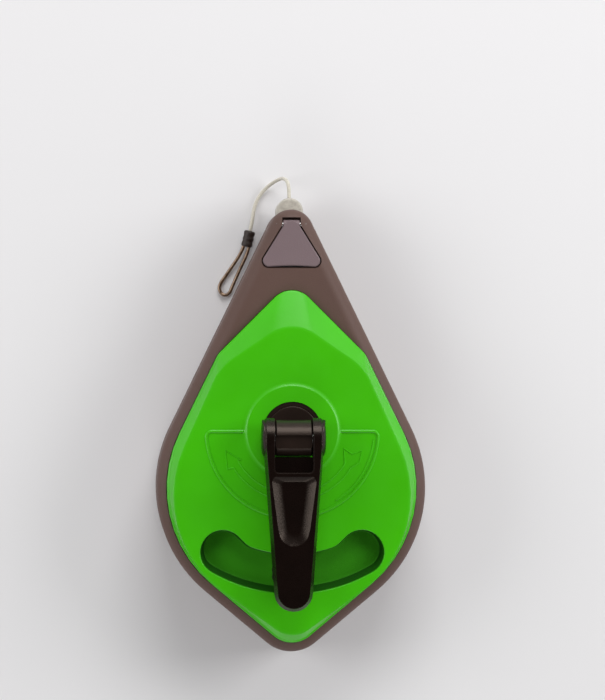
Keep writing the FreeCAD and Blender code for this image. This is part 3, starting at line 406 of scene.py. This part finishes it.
def hull(circles, grow, height, arc=10, flat=4):
    """Points round the tangent outline of circles given anticlockwise, in mm."""
    turns = []
    for (x1, y1, r1), (x2, y2, r2) in zip(circles, circles[1:] + circles[:1]):
        heading = math.atan2(y2 - y1, x2 - x1)
        turns.append(heading - math.acos((r1 - r2) / math.hypot(x2 - x1, y2 - y1)))
    points = []
    for i, (x, y, r) in enumerate(circles):
        start, end = turns[i - 1], turns[i]
        while end <= start:
            end += 2 * math.pi
        while end - start > 2 * math.pi:
            end -= 2 * math.pi
        for k in range(arc + 1):
            turn = start + (end - start) * k / arc
            points.append(Vector((x + (r + grow) * math.cos(turn),
                                  y + (r + grow) * math.sin(turn), height)))
        nx, ny, nr = circles[(i + 1) % len(circles)]
        after = Vector((nx + (nr + grow) * math.cos(end), ny + (nr + grow) * math.sin(end),
                        height))
        here = points[-1]
        points += [here.lerp(after, k / (flat + 1)) for k in range(1, flat + 1)]
    return points


def stacked(name, rings):
    """A solid drawn as one closed outline, in mm, and extruded through the next ones."""
    bpy.ops.object.select_all(action="DESELECT")
    bpy.ops.mesh.primitive_circle_add(vertices=len(rings[0]), fill_type="NGON")
    piece = bpy.context.object
    piece.name = name
    bpy.ops.object.mode_set(mode="EDIT")
    bpy.ops.mesh.select_all(action="SELECT")
    before = None
    for ring in rings:
        if before:
            bpy.ops.mesh.extrude_region_move()
        mesh = bmesh.from_edit_mesh(piece.data)
        mesh.verts.ensure_lookup_table()
        if before:
            moved = {tuple(v.co): v for v in mesh.verts if v.select}
            moved = [moved[place] for place in before]
        else:
            moved = list(mesh.verts)
        for vert, place in zip(moved, ring):
            vert.co = place * MM
        before = [tuple(v.co) for v in moved]
        bmesh.update_edit_mesh(piece.data)
    bpy.ops.mesh.select_all(action="SELECT")
    bpy.ops.mesh.normals_make_consistent(inside=False)
    bpy.ops.object.mode_set(mode="OBJECT")
    return piece


def carve(piece, tool, how="DIFFERENCE"):
    """Cuts a tool out of a piece or welds it on, and removes the tool."""
    cut = piece.modifiers.new("cut", "BOOLEAN")
    cut.operation = how
    cut.solver = "EXACT"
    cut.object = tool
    bpy.context.view_layer.objects.active = piece
    bpy.ops.object.modifier_apply(modifier=cut.name)
    bpy.data.objects.remove(tool)


def drum(name, x, y, levels, sides=96):
    """A solid turned about a line along Z, from (radius, height) levels in mm."""
    rings = []
    for radius, height in levels:
        rings.append([Vector((x + radius * math.cos(2 * math.pi * k / sides),
                              y + radius * math.sin(2 * math.pi * k / sides), height))
                      for k in range(sides)])
    return stacked(name, rings)


LOBE_X, LOBE_Y, LOBE_RADIUS = 20.2, -35.2, 6.6
LOBE_MEAN = math.hypot(LOBE_X, LOBE_Y)
LOBE_TURN = math.atan2(LOBE_X, -LOBE_Y)
WAIST_RADIUS = 35.7
WAIST_BLEND = math.radians(11)
SLOT_STEPS, LOBE_STEPS = 40, 16


def below_crank(radius, turn, height):
    """A point at a radius from the crank's axis, turned to the right from straight down."""
    return Vector((radius * math.sin(turn), -radius * math.cos(turn), height))


def finger_slot(grow, height, rise=0.0):
    """Outline of the finger recess, bent round the crank's axis with wider ends."""
    reach = LOBE_RADIUS + grow
    points = []
    for k in range(SLOT_STEPS + 1):
        turn = LOBE_TURN * (2 * k / SLOT_STEPS - 1)
        points.append(below_crank(LOBE_MEAN + reach, turn, height))
    for side in (1, -1):
        centre = below_crank(LOBE_MEAN, side * LOBE_TURN, height)
        first = -math.pi / 2 + LOBE_TURN if side > 0 else math.pi / 2 - LOBE_TURN
        for k in range(1, LOBE_STEPS):
            along = first + math.pi * k / LOBE_STEPS
            points.append(centre + reach * Vector((math.cos(along), math.sin(along), 0)))
        for k in range(SLOT_STEPS + 1 if side > 0 else 0):
            turn = LOBE_TURN * (1 - 2 * k / SLOT_STEPS)
            blend = min(1, (LOBE_TURN - abs(turn)) / WAIST_BLEND)
            blend = blend * blend * (3 - 2 * blend)
            lobe = LOBE_MEAN - reach
            radius = lobe + (WAIST_RADIUS - grow - lobe) * blend
            points.append(below_crank(radius, turn, height))
    return [point + Vector((0, rise, 0)) for point in points]


RIDGE_SUNK = 0.1


def ridge(path, width, closed=True):
    """A raised line on the crown along a path of (x, y) points in mm."""
    data = bpy.data.curves.new("ridge", "CURVE")
    data.dimensions = "3D"
    spline = data.splines.new("POLY")
    spline.points.add(len(path) - 1)
    for point, (x, y) in zip(spline.points, path):
        point.co = (x * MM, y * MM, CROWN_Z * MM - RIDGE_SUNK * MM, 1)
    spline.use_cyclic_u = closed
    data.bevel_depth = width / 2 * MM
    data.bevel_resolution = 3
    data.use_fill_caps = True
    raised = bpy.data.objects.new("ridge", data)
    bpy.context.scene.collection.objects.link(raised)
    bpy.ops.object.select_all(action="DESELECT")
    raised.select_set(True)
    bpy.context.view_layer.objects.active = raised
    bpy.ops.object.convert(target="MESH")
    return bpy.context.object


def arc_path(radius, start, end, steps, x=0.0, y=0.0):
    """Points of an arc, its angles in degrees."""
    turns = [math.radians(start + (end - start) * k / steps) for k in range(steps + 1)]
    return [(x + radius * math.cos(t), y + radius * math.sin(t)) for t in turns]


cover = stacked("cover", [
    hull(COVER, 0, SKIRT_Z), hull(COVER, 0, EDGE_Z - 0.5), hull(COVER, -0.15, EDGE_Z - 0.15),
    hull(COVER, -0.5, EDGE_Z), hull(CROWN, 0.25, CROWN_Z - 0.2), hull(CROWN, -0.2, CROWN_Z - 0.03),
    hull(CROWN, -0.9, CROWN_Z)])
carve(cover, stacked("hollow", [
    hull(COVER, -SIDE_WALL, SKIRT_Z - 1), hull(COVER, -SIDE_WALL, EDGE_Z - 1),
    hull(CROWN, -CROWN_WALL, CROWN_Z - CROWN_WALL)]))
RECESS_WALL, RECESS_FOOT = 1.4, 27.4
carve(cover, stacked("recess_shell", [
    finger_slot(RECESS_WALL, RECESS_FOOT), finger_slot(RECESS_WALL, CROWN_Z - 1)]), "UNION")
BOSS = [(14.9, CROWN_Z - 0.5), (14.5, CROWN_Z), (13.3, CROWN_Z + 0.72), (13.0, CROWN_Z + BOSS_TALL)]
carve(cover, drum("boss", 0, 0, BOSS, 128), "UNION")
HUB_HOLE_RADIUS = 8.6
carve(cover, drum("hub_hole", 0, 0, [(HUB_HOLE_RADIUS, 30), (HUB_HOLE_RADIUS, 36)]))
FLOOR_Z = 29
RECESS = [(-1.6, FLOOR_Z, 0.8), (-1.15, FLOOR_Z + 0.2, 0.75), (-0.95, FLOOR_Z + 0.8, 0.65),
          (-0.15, CROWN_Z - 0.5, 0.08), (0.0, CROWN_Z - 0.15), (0.25, CROWN_Z + 0.01),
          (0.5, CROWN_Z + 1)]
carve(cover, stacked("recess", [finger_slot(*level) for level in RECESS]))
PANEL_REACH, PANEL_CORNER, PANEL_START = 25.0, 1.6, 14.2
PANEL_SIDE = PANEL_REACH - PANEL_CORNER - 0.05
HALF_ROUND = ([(-PANEL_START, 0)]
              + arc_path(PANEL_CORNER, 90, 180, 8, -PANEL_SIDE, -PANEL_CORNER)
              + arc_path(PANEL_REACH, 184.5, 355.5, 90)
              + arc_path(PANEL_CORNER, 0, 90, 8, PANEL_SIDE, -PANEL_CORNER)
              + [(PANEL_START, 0)])
carve(cover, ridge(HALF_ROUND, 1.0, False), "UNION")
carve(cover, ridge(arc_path(PANEL_REACH - 1.3, -58, -6, 30), 0.6, False), "UNION")
ARROW_OUTER, ARROW_INNER = 20.0, 17.9
ARROW = ([(15.0, -5.0), (17.3, -6.6), (20.2, -5.6), (19.5, -9.0)]
         + arc_path(ARROW_OUTER, -32, -148, 40)
         + [(-18.9, -10.9), (-19.4, -5.6), (-14.9, -8.2)]
         + arc_path(ARROW_INNER, -152, -32, 40) + [(15.2, -9.2)])
carve(cover, ridge(ARROW, 0.55), "UNION")


def moulded_green():
    """Glossy green moulding: faint flow streaks, a fine orange peel and light scuffs."""
    finish = Finish("cover_green", Coat_Weight=0.15, Coat_Roughness=0.2,
                    Specular_IOR_Level=0.35)
    drift = finish.noise(38, 3)
    peel = finish.noise(900, 2)
    scuffs = finish.noise(160, 6, 0.7)
    finish.feed("Base Color", finish.shades(drift, tone(GREEN, 0.92), tone(GREEN, 1.06)))
    finish.feed("Roughness", scuffs * 0.2 + 0.26)
    finish.bump(peel, 0.00002)
    return finish.material


# Painted shade: tones of the recess's green by height, darkest on its walls, dimmer on its floor,
# back to the cover's green at its rim.
RECESS_PAINTED_SHADE = [
    (0.0, (0.034, 0.3, 0.001, 1)), (0.045, (0.03, 0.26, 0.001, 1)),
    (0.1, (0.006, 0.075, 0.0005, 1)), (0.9, (0.007, 0.085, 0.0005, 1)), (0.985, tone(GREEN)),
]


def recess_painted_shade():
    """The recess, matt from its eroded mould and grained, with painted shade in its colour: its
    green darkens by height, darkest on its walls and dimmer on its floor.
    """
    finish = Finish("recess_green", Specular_IOR_Level=0.2)
    depth = finish.add("ShaderNodeSeparateXYZ", {}, {"Vector": finish.place()}, output=2)
    level = (depth - FLOOR_Z * MM) * (1 / ((CROWN_Z - FLOOR_Z) * MM))
    grain = finish.noise(3400, 3, 0.6)
    finish.feed("Base Color", finish.ramp(level + grain * 0.02, *RECESS_PAINTED_SHADE))
    finish.feed("Roughness", grain * 0.2 + 0.5)
    finish.bump(grain, 0.00006)
    return finish.material


def settle_shading(piece, angle=35):
    """Smooth shading between sharp edges, with flat faces kept flat."""
    bpy.ops.object.select_all(action="DESELECT")
    piece.select_set(True)
    bpy.context.view_layer.objects.active = piece
    bpy.ops.object.shade_smooth_by_angle(angle=math.radians(angle))
    level = piece.modifiers.new("level", "WEIGHTED_NORMAL")
    level.keep_sharp = True
    level.weight = 80
    bpy.ops.object.modifier_apply(modifier=level.name)


def in_recess(face):
    """Whether a face belongs to the finger recess's floor or walls."""
    x, y, z = face.center / MM
    if z > CROWN_Z - 0.3 or z < FLOOR_Z - 0.1 or face.normal.z < -0.1:
        return False
    return abs(math.hypot(x, y) - LOBE_MEAN) < 7 and y < 0 and abs(x) < LOBE_X + 7


cover_finish = moulded_green()
settle_shading(cover)
keep(cover, "case", "cover_plastic", cover_finish, "face_cover")
# The recess's faces take a second material whose green carries painted shade.
cover.data.materials.append(recess_painted_shade())
for face in cover.data.polygons:
    if in_recess(face):
        face.material_index = 1


# ---------------------------------------------------------------------------
# Crank hub. One black moulding: a round flange that turns in the cover's bush,
# a barrel on it for the hinge pin, and a short stop lug under the window.

def block(name, low, high):
    """A box between two corners in mm, as one outline and its extrusion."""
    (x1, y1, z1), (x2, y2, z2) = low, high
    outline = [(x1, y1), (x2, y1), (x2, y2), (x1, y2)]
    return stacked(name, [[Vector((x, y, z)) for x, y in outline] for z in (z1, z2)])


def barrel(name, y, z, half, levels, sides=96):
    """A solid turned about a line along X, from (radius, inset) levels in mm."""
    rings = []
    for reach, edge in ((-half, levels), (half, list(reversed(levels)))):
        for radius, inset in edge:
            x = reach + inset if reach < 0 else reach - inset
            rings.append([Vector((x, y + radius * math.cos(2 * math.pi * k / sides),
                                  z + radius * math.sin(2 * math.pi * k / sides)))
                          for k in range(sides)])
    return stacked(name, rings)


def soften(piece, width, segments, angle):
    """Rounds the piece's edges that are sharper than an angle in degrees."""
    bevel = piece.modifiers.new("soft_edges", "BEVEL")
    bevel.width = width * MM
    bevel.segments = segments
    bevel.limit_method = "ANGLE"
    bevel.angle_limit = math.radians(angle)
    bevel.use_clamp_overlap = True
    bevel.miter_outer = "MITER_ARC"
    bpy.context.view_layer.objects.active = piece
    bpy.ops.object.modifier_apply(modifier=bevel.name)


HINGE_Y, HINGE_Z = -1.9, 41.0
BARREL_HALF, BARREL_RADIUS = 5.3, 5.3
HUB_FOOT_HALF = 4.9
HUB_BLACK = (0.013, 0.0078, 0.006)


def tough_black(name, colour, roughness=0.3):
    """Black glass-filled nylon: a slight sheen, flow drift, fine grain and rubbed spots."""
    finish = Finish(name, Specular_IOR_Level=0.36, Specular_Tint=(1, 0.82, 0.7, 1))
    drift = finish.noise(120, 4)
    grain = finish.noise(3000, 3, 0.6)
    rubbed = finish.noise(420, 5, 0.7)
    finish.feed("Base Color", finish.shades(drift, tone(colour, 0.8), tone(colour, 1.3)))
    finish.feed("Roughness", grain * 0.08 + rubbed * 0.06 + (roughness - 0.05))
    finish.bump(grain, 0.00003)
    return finish.material


HUB = [(3.0, 26.6), (3.0, 27.2), (4.9, 27.2), (4.9, 30.7), (7.2, 30.8), (7.32, 31.0),
       (7.32, 34.5), (7.2, 34.8), (6.9, 34.92)]
hub = drum("hub", 0, 0, HUB)
carve(hub, block("hub_foot", (-BARREL_HALF, HINGE_Y - HUB_FOOT_HALF, 34.0),
                 (BARREL_HALF, HINGE_Y + HUB_FOOT_HALF, HINGE_Z)), "UNION")
carve(hub, barrel("hub_barrel", HINGE_Y, HINGE_Z, BARREL_HALF,
                  [(BARREL_RADIUS - 0.35, 0), (BARREL_RADIUS, 0.35)]), "UNION")
carve(hub, block("barrel_flat", (-6, -4.7, HINGE_Z + 4.5), (6, -0.9, HINGE_Z + 7)))
carve(hub, block("stop_lug", (-5.0, -7.5, 36.2), (5.0, -5.0, 38.6)), "UNION")
hub_finish = tough_black("hub_black", HUB_BLACK)
soften(hub, 0.2, 2, 40)
settle_shading(hub)
keep(hub, "crank_hub", "hub_plastic", hub_finish, "crank_hub")


# ---------------------------------------------------------------------------
# Crank arm. A tapering black moulding with drafted sides, forked at the hinge
# round the hub's barrel, with a concave thumb scoop on top and a cored underside.

ARM = [(0, -46.3, 5.6), (8.25, 2.9, 1.0), (-8.25, 2.9, 1.0)]
ARM_TOP = [(0, -46.3, 4.3), (5.6, -2.4, 2.2), (-5.6, -2.4, 2.2)]
ARM_MID = [(0, -46.3, 4.75), (7.2, 2.0, 1.5), (-7.2, 2.0, 1.5)]
ARM_LOW, ARM_HIGH, ARM_TIP_HIGH = 42.0, 46.8, 44.8
ARM_BLACK = (0.004, 0.0016, 0.0012)
SLOPE_START, SLOPE_END = -14.0, -51.9
EAR_HALF, EAR_RADIUS, EAR_CUT = 9.25, 5.85, 5.5
KNOB_Y = -41.0
DOUBLED = 0.002


def lean(piece):
    """Tips what lies above the arm's underside down towards the arm's end."""
    for vert in piece.data.vertices:
        y, z = vert.co.y / MM, vert.co.z / MM
        along = max(0, (SLOPE_START - y) / (SLOPE_START - SLOPE_END))
        share = max(0, min(1, (z - ARM_LOW) / (ARM_HIGH - ARM_LOW)))
        vert.co.z -= (ARM_HIGH - ARM_TIP_HIGH) * along * share * MM


def close_up(piece):
    """Joins the points that cuts leave on top of each other, so that the skin is closed."""
    bpy.ops.object.select_all(action="DESELECT")
    piece.select_set(True)
    bpy.context.view_layer.objects.active = piece
    bpy.ops.object.mode_set(mode="EDIT")
    bpy.ops.mesh.select_all(action="SELECT")
    bpy.ops.mesh.remove_doubles(threshold=DOUBLED * MM)
    bpy.ops.mesh.dissolve_degenerate(threshold=DOUBLED * MM)
    bpy.ops.object.mode_set(mode="OBJECT")


arm = stacked("arm", [
    hull(ARM, -0.4, ARM_LOW, 12, 16), hull(ARM, 0, ARM_LOW + 0.4, 12, 16),
    hull(ARM_MID, 0, ARM_HIGH - 0.9, 12, 16), hull(ARM_TOP, 0.35, ARM_HIGH - 0.15, 12, 16),
    hull(ARM_TOP, 0, ARM_HIGH, 12, 16)])
lean(arm)
shoulder = block("shoulder", (-12, HINGE_Y, HINGE_Z - 2), (12, 8, 50))
carve(shoulder, barrel("ear_form", HINGE_Y, HINGE_Z, 13, [(EAR_CUT, 0)]))
carve(arm, shoulder)
EARS = [(3.6, 0), (4.4, 0.12), (5.2, 0.55), (EAR_RADIUS, 1.35)]
carve(arm, barrel("ears", HINGE_Y, HINGE_Z, EAR_HALF, EARS), "UNION")
WINDOW = [(-4.4, -10.6, 1.15), (4.4, -10.6, 1.15), (4.4, 8, 1.15), (-4.4, 8, 1.15)]
carve(arm, stacked("window", [hull(WINDOW, -0.05, 30), hull(WINDOW, -0.05, ARM_HIGH - 0.35),
                              hull(WINDOW, 0.35, ARM_HIGH + 0.1), hull(WINDOW, 0.35, 50)]))
carve(arm, block("web", (-6, -12.5, ARM_LOW + 0.1), (6, -7.3, ARM_LOW + 1.3)), "UNION")
SCOOP = [(0, -28.6, 4.5), (5.2, -14.1, 1.3), (-5.2, -14.1, 1.3)]
DISH = [(0, -27.6, 1.9), (2.3, -15.4, 1.0), (-2.3, -15.4, 1.0)]
SCOOP_STEPS, SCOOP_DEEP, SCOOP_SWEEP = 12, 1.28, 1.35
scoop_rings = []
for step in range(SCOOP_STEPS + 3):
    along = step / SCOOP_STEPS
    mixed = [tuple(a + (b - a) * along for a, b in zip(inner, outer))
             for inner, outer in zip(DISH, SCOOP)]
    level = ARM_HIGH + 0.03 - SCOOP_DEEP * (1 - along ** SCOOP_SWEEP)
    scoop_rings.append(hull(mixed, 0, level, 14, 10))
scoop_rings.append(hull(SCOOP, 0.4, ARM_HIGH + 2, 14, 10))
scoop = stacked("scoop", scoop_rings)
lean(scoop)
carve(arm, scoop)
CORE = [(0, -31.5, 2.9), (4.6, -16.2, 1.0), (-4.6, -16.2, 1.0)]
carve(arm, stacked("core", [hull(CORE, 0.3, ARM_LOW - 1), hull(CORE, 0, ARM_LOW + 0.3),
                            hull(CORE, -0.15, ARM_LOW + 1.9)]))
carve(arm, drum("pin_bore", 0, KNOB_Y, [(1.55, 40), (1.55, 43)], 32))
close_up(arm)
settle_shading(arm, 28)
arm_finish = tough_black("arm_black", ARM_BLACK, 0.26)
keep(arm, "crank_arm", "crank_plastic", arm_finish, "crank_arm")


# ---------------------------------------------------------------------------
# Knob. A small black mushroom riveted to the arm's underside, fluted for grip.

KNOB = [(3.3, 34.5), (5.2, 34.52), (5.9, 34.9), (6.2, 35.6), (6.2, 37.2), (5.9, 38.0),
        (4.9, 38.9), (4.7, 40.0), (4.8, 41.3)]
KNOB_BLACK = (0.012, 0.01, 0.01)
FLUTES, FLUTE_DEEP, FLUTED_FROM = 12, 0.28, 5.5
KNOB_SIDES = FLUTES * 8
knob_rings = []
for radius, height in KNOB:
    ring_points = []
    for k in range(KNOB_SIDES):
        turn = 2 * math.pi * k / KNOB_SIDES
        dent = FLUTE_DEEP * (0.5 + 0.5 * math.cos(FLUTES * turn)) * (radius > FLUTED_FROM)
        ring_points.append(Vector(((radius - dent) * math.cos(turn),
                                   KNOB_Y + (radius - dent) * math.sin(turn), height)))
    knob_rings.append(ring_points)
knob = stacked("knob", knob_rings)
carve(knob, drum("knob_sink", 0, KNOB_Y, [(3.3, 34), (3.3, 36.3)], 48))
carve(knob, drum("knob_bore", 0, KNOB_Y, [(1.6, 33), (1.6, 43)], 32))
settle_shading(knob, 40)
keep(knob, "crank_knob", "crank_plastic", tough_black("knob_black", KNOB_BLACK, 0.34),
     "crank_knob")


# ---------------------------------------------------------------------------
# Fill door. A flush plate of lighter grey on the nose, hinged at its top, with
# a gently arched lower edge and a fine bevel all round.

DOOR_TOP_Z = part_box("fill_door")[1].z / MM
DOOR_GREY = (0.2, 0.145, 0.155)
DOOR = [(-6.6, 49.6, 1.9), (6.6, 49.6, 1.9), (0, 59.0, 2.6)]
DOOR_FIT = 0.14
ARCH_TALL, ARCH_HALF, ARCH_BELOW = 0.3, 6.4, 49.2


def door_ring(grow, height):
    """The door's outline with its lower edge arched."""
    ring_points = hull(DOOR, grow - DOOR_FIT, height, 14, 24)
    for point in ring_points:
        if point.y < ARCH_BELOW:
            point.y += ARCH_TALL * max(0, 1 - (point.x / ARCH_HALF) ** 2)
    return ring_points


door = stacked("door", [door_ring(0, DOOR_TOP_Z - 1.6), door_ring(0, DOOR_TOP_Z - 0.32),
                        door_ring(-0.3, DOOR_TOP_Z - 0.02), door_ring(-0.5, DOOR_TOP_Z)])
carve(door, barrel("door_knuckle", 60.2, 27.6, 2.4, [(1.2, 0), (1.38, 0.18)], 48), "UNION")
settle_shading(door, 30)
door_finish = grained_grey("door_grey", DOOR_GREY, 0.36)
keep(door, "fill_door", "door_plastic", door_finish, "fill_door")


# ---------------------------------------------------------------------------
# Mouth felts. Two pads of pressed cream wool, cut to a round tongue, that grip
# and wipe the line between them as it leaves the nose.

FELT = [(-3.0, 58.5, 1.15), (3.0, 58.5, 1.15), (0, 64.4, 4.1)]
FELT_SKIN = 0.12
WOOL_SHADE = (0.34, 0.31, 0.26)
WOOL_CREAM = (0.66, 0.62, 0.54)


def pressed_wool():
    finish = Finish("felt_cream", Roughness=0.95, Sheen_Weight=0.6, Sheen_Roughness=0.5)
    clumps = finish.noise(700, 4, 0.7)
    fibres = finish.noise(7000, 4, 0.8)
    finish.feed("Base Color", finish.shades(
        clumps * 0.6 + fibres * 0.4, tone(WOOL_SHADE), tone(WOOL_CREAM)))
    finish.bump(clumps * 0.5 + fibres * 0.5, 0.0003)
    return finish.material


felt_finish = pressed_wool()
for node, low_z, high_z in (("felt_front", 12.05, 16.9), ("felt_rear", 7.1, 11.95)):
    levels = [(-0.9, 0.0), (-0.35, 0.25), (0.0, 0.9)]
    rings = [hull(FELT, grow - FELT_SKIN, low_z + rise, 14, 12) for grow, rise in levels]
    rings += [hull(FELT, grow - FELT_SKIN, high_z - rise, 14, 12)
              for grow, rise in reversed(levels)]
    pad = stacked(node + "_pad", rings)
    settle_shading(pad, 50)
    keep(pad, "case", "felt", felt_finish, node)


# ---------------------------------------------------------------------------
# Pieces that keep their designed shape, each with its own finish.

def plain(name, colour, spread, roughness, grain, depth, **constants):
    """A turned or moulded piece: a tone that drifts slightly under a fine grain."""
    finish = Finish(name, **constants)
    drift = finish.noise(90, 4)
    fine = finish.noise(grain, 3, 0.6)
    finish.feed("Base Color", finish.shades(drift, tone(colour, 1 - spread),
                                            tone(colour, 1 + spread)))
    finish.feed("Roughness", fine * 0.14 + (roughness - 0.07))
    finish.bump(fine, depth)
    return finish.material


finishes = {
    "case_plastic": case_finish,
    "cover_plastic": cover_finish,
    "door_plastic": door_finish,
    "crank_plastic": arm_finish,
    "hub_plastic": hub_finish,
    "spool_plastic": plain("spool_black", (0.02, 0.02, 0.022), 0.1, 0.45, 2600, 0.00004),
    "bearing_plastic": plain("acetal", (0.75, 0.72, 0.65), 0.03, 0.4, 2600, 0.00002),
    "seal_rubber": plain("rubber_black", (0.02, 0.02, 0.02), 0.1, 0.7, 2600, 0.00004),
    "felt": felt_finish,
    "braided_line": cotton_finish,
    "ferrule_plastic": ferrule.data.materials[0],
    "hook_wire": hook.data.materials[0],
    "bright_steel": plain("steel", (0.6, 0.6, 0.6), 0.05, 0.28, 2600, 0.00001, Metallic=1.0),
    "screw_steel": plain("zinc_steel", (0.5, 0.5, 0.48), 0.05, 0.35, 2600, 0.00001, Metallic=1.0),
}
for entry in frame["record"]["subparts"]:
    node = NODES[entry["node"]]
    node.data.materials.clear()
    node.data.materials.append(finishes[entry["material_slot"]])


# ---------------------------------------------------------------------------
# Studio. A pale floor and soft light from large panels above.

bpy.ops.object.select_all(action="DESELECT")
bpy.ops.mesh.primitive_plane_add(size=4)
floor = bpy.context.object
floor.name = "floor"
pale = Finish("pale_floor", Roughness=0.9)
pale.shader.inputs["Base Color"].default_value = (0.8, 0.79, 0.8, 1)
floor.data.materials.append(pale.material)


def soft_light(name, place, size, power):
    """A soft square light aimed at the middle of the reel."""
    light = bpy.data.lights.new(name, "AREA")
    light.size = size
    light.energy = power
    lamp = bpy.data.objects.new(name, light)
    bpy.context.scene.collection.objects.link(lamp)
    lamp.location = place
    lamp.rotation_euler = (Vector((0, 0, 0)) - Vector(place)).to_track_quat("-Z", "Y").to_euler()


soft_light("top_light", (0.1, 0.85, 0.6), 0.6, 5.5)
soft_light("right_light", (0.8, 0.25, 0.55), 0.5, 4.2)
soft_light("left_light", (-0.8, 0.1, 0.6), 0.5, 2.6)
soft_light("low_light", (-0.1, -0.85, 0.7), 0.5, 1.6)
HORIZON_LIGHT, ZENITH_LIGHT = 0.7, 0.03
world = bpy.data.worlds.new("room")
world.use_nodes = True
room = Nodes(world.node_tree)
heading = room.add("ShaderNodeTexCoord")
upwards = room.add("ShaderNodeSeparateXYZ", {}, {"Vector": heading}, output=2)
walls = room.ramp(upwards, (0.35, (HORIZON_LIGHT,) * 3 + (1,)), (0.92, (ZENITH_LIGHT,) * 3 + (1,)))
room.tree.links.new(walls.socket, room.tree.nodes["Background"].inputs["Color"])
bpy.context.scene.world = world
bpy.context.scene.view_settings.view_transform = "Standard"
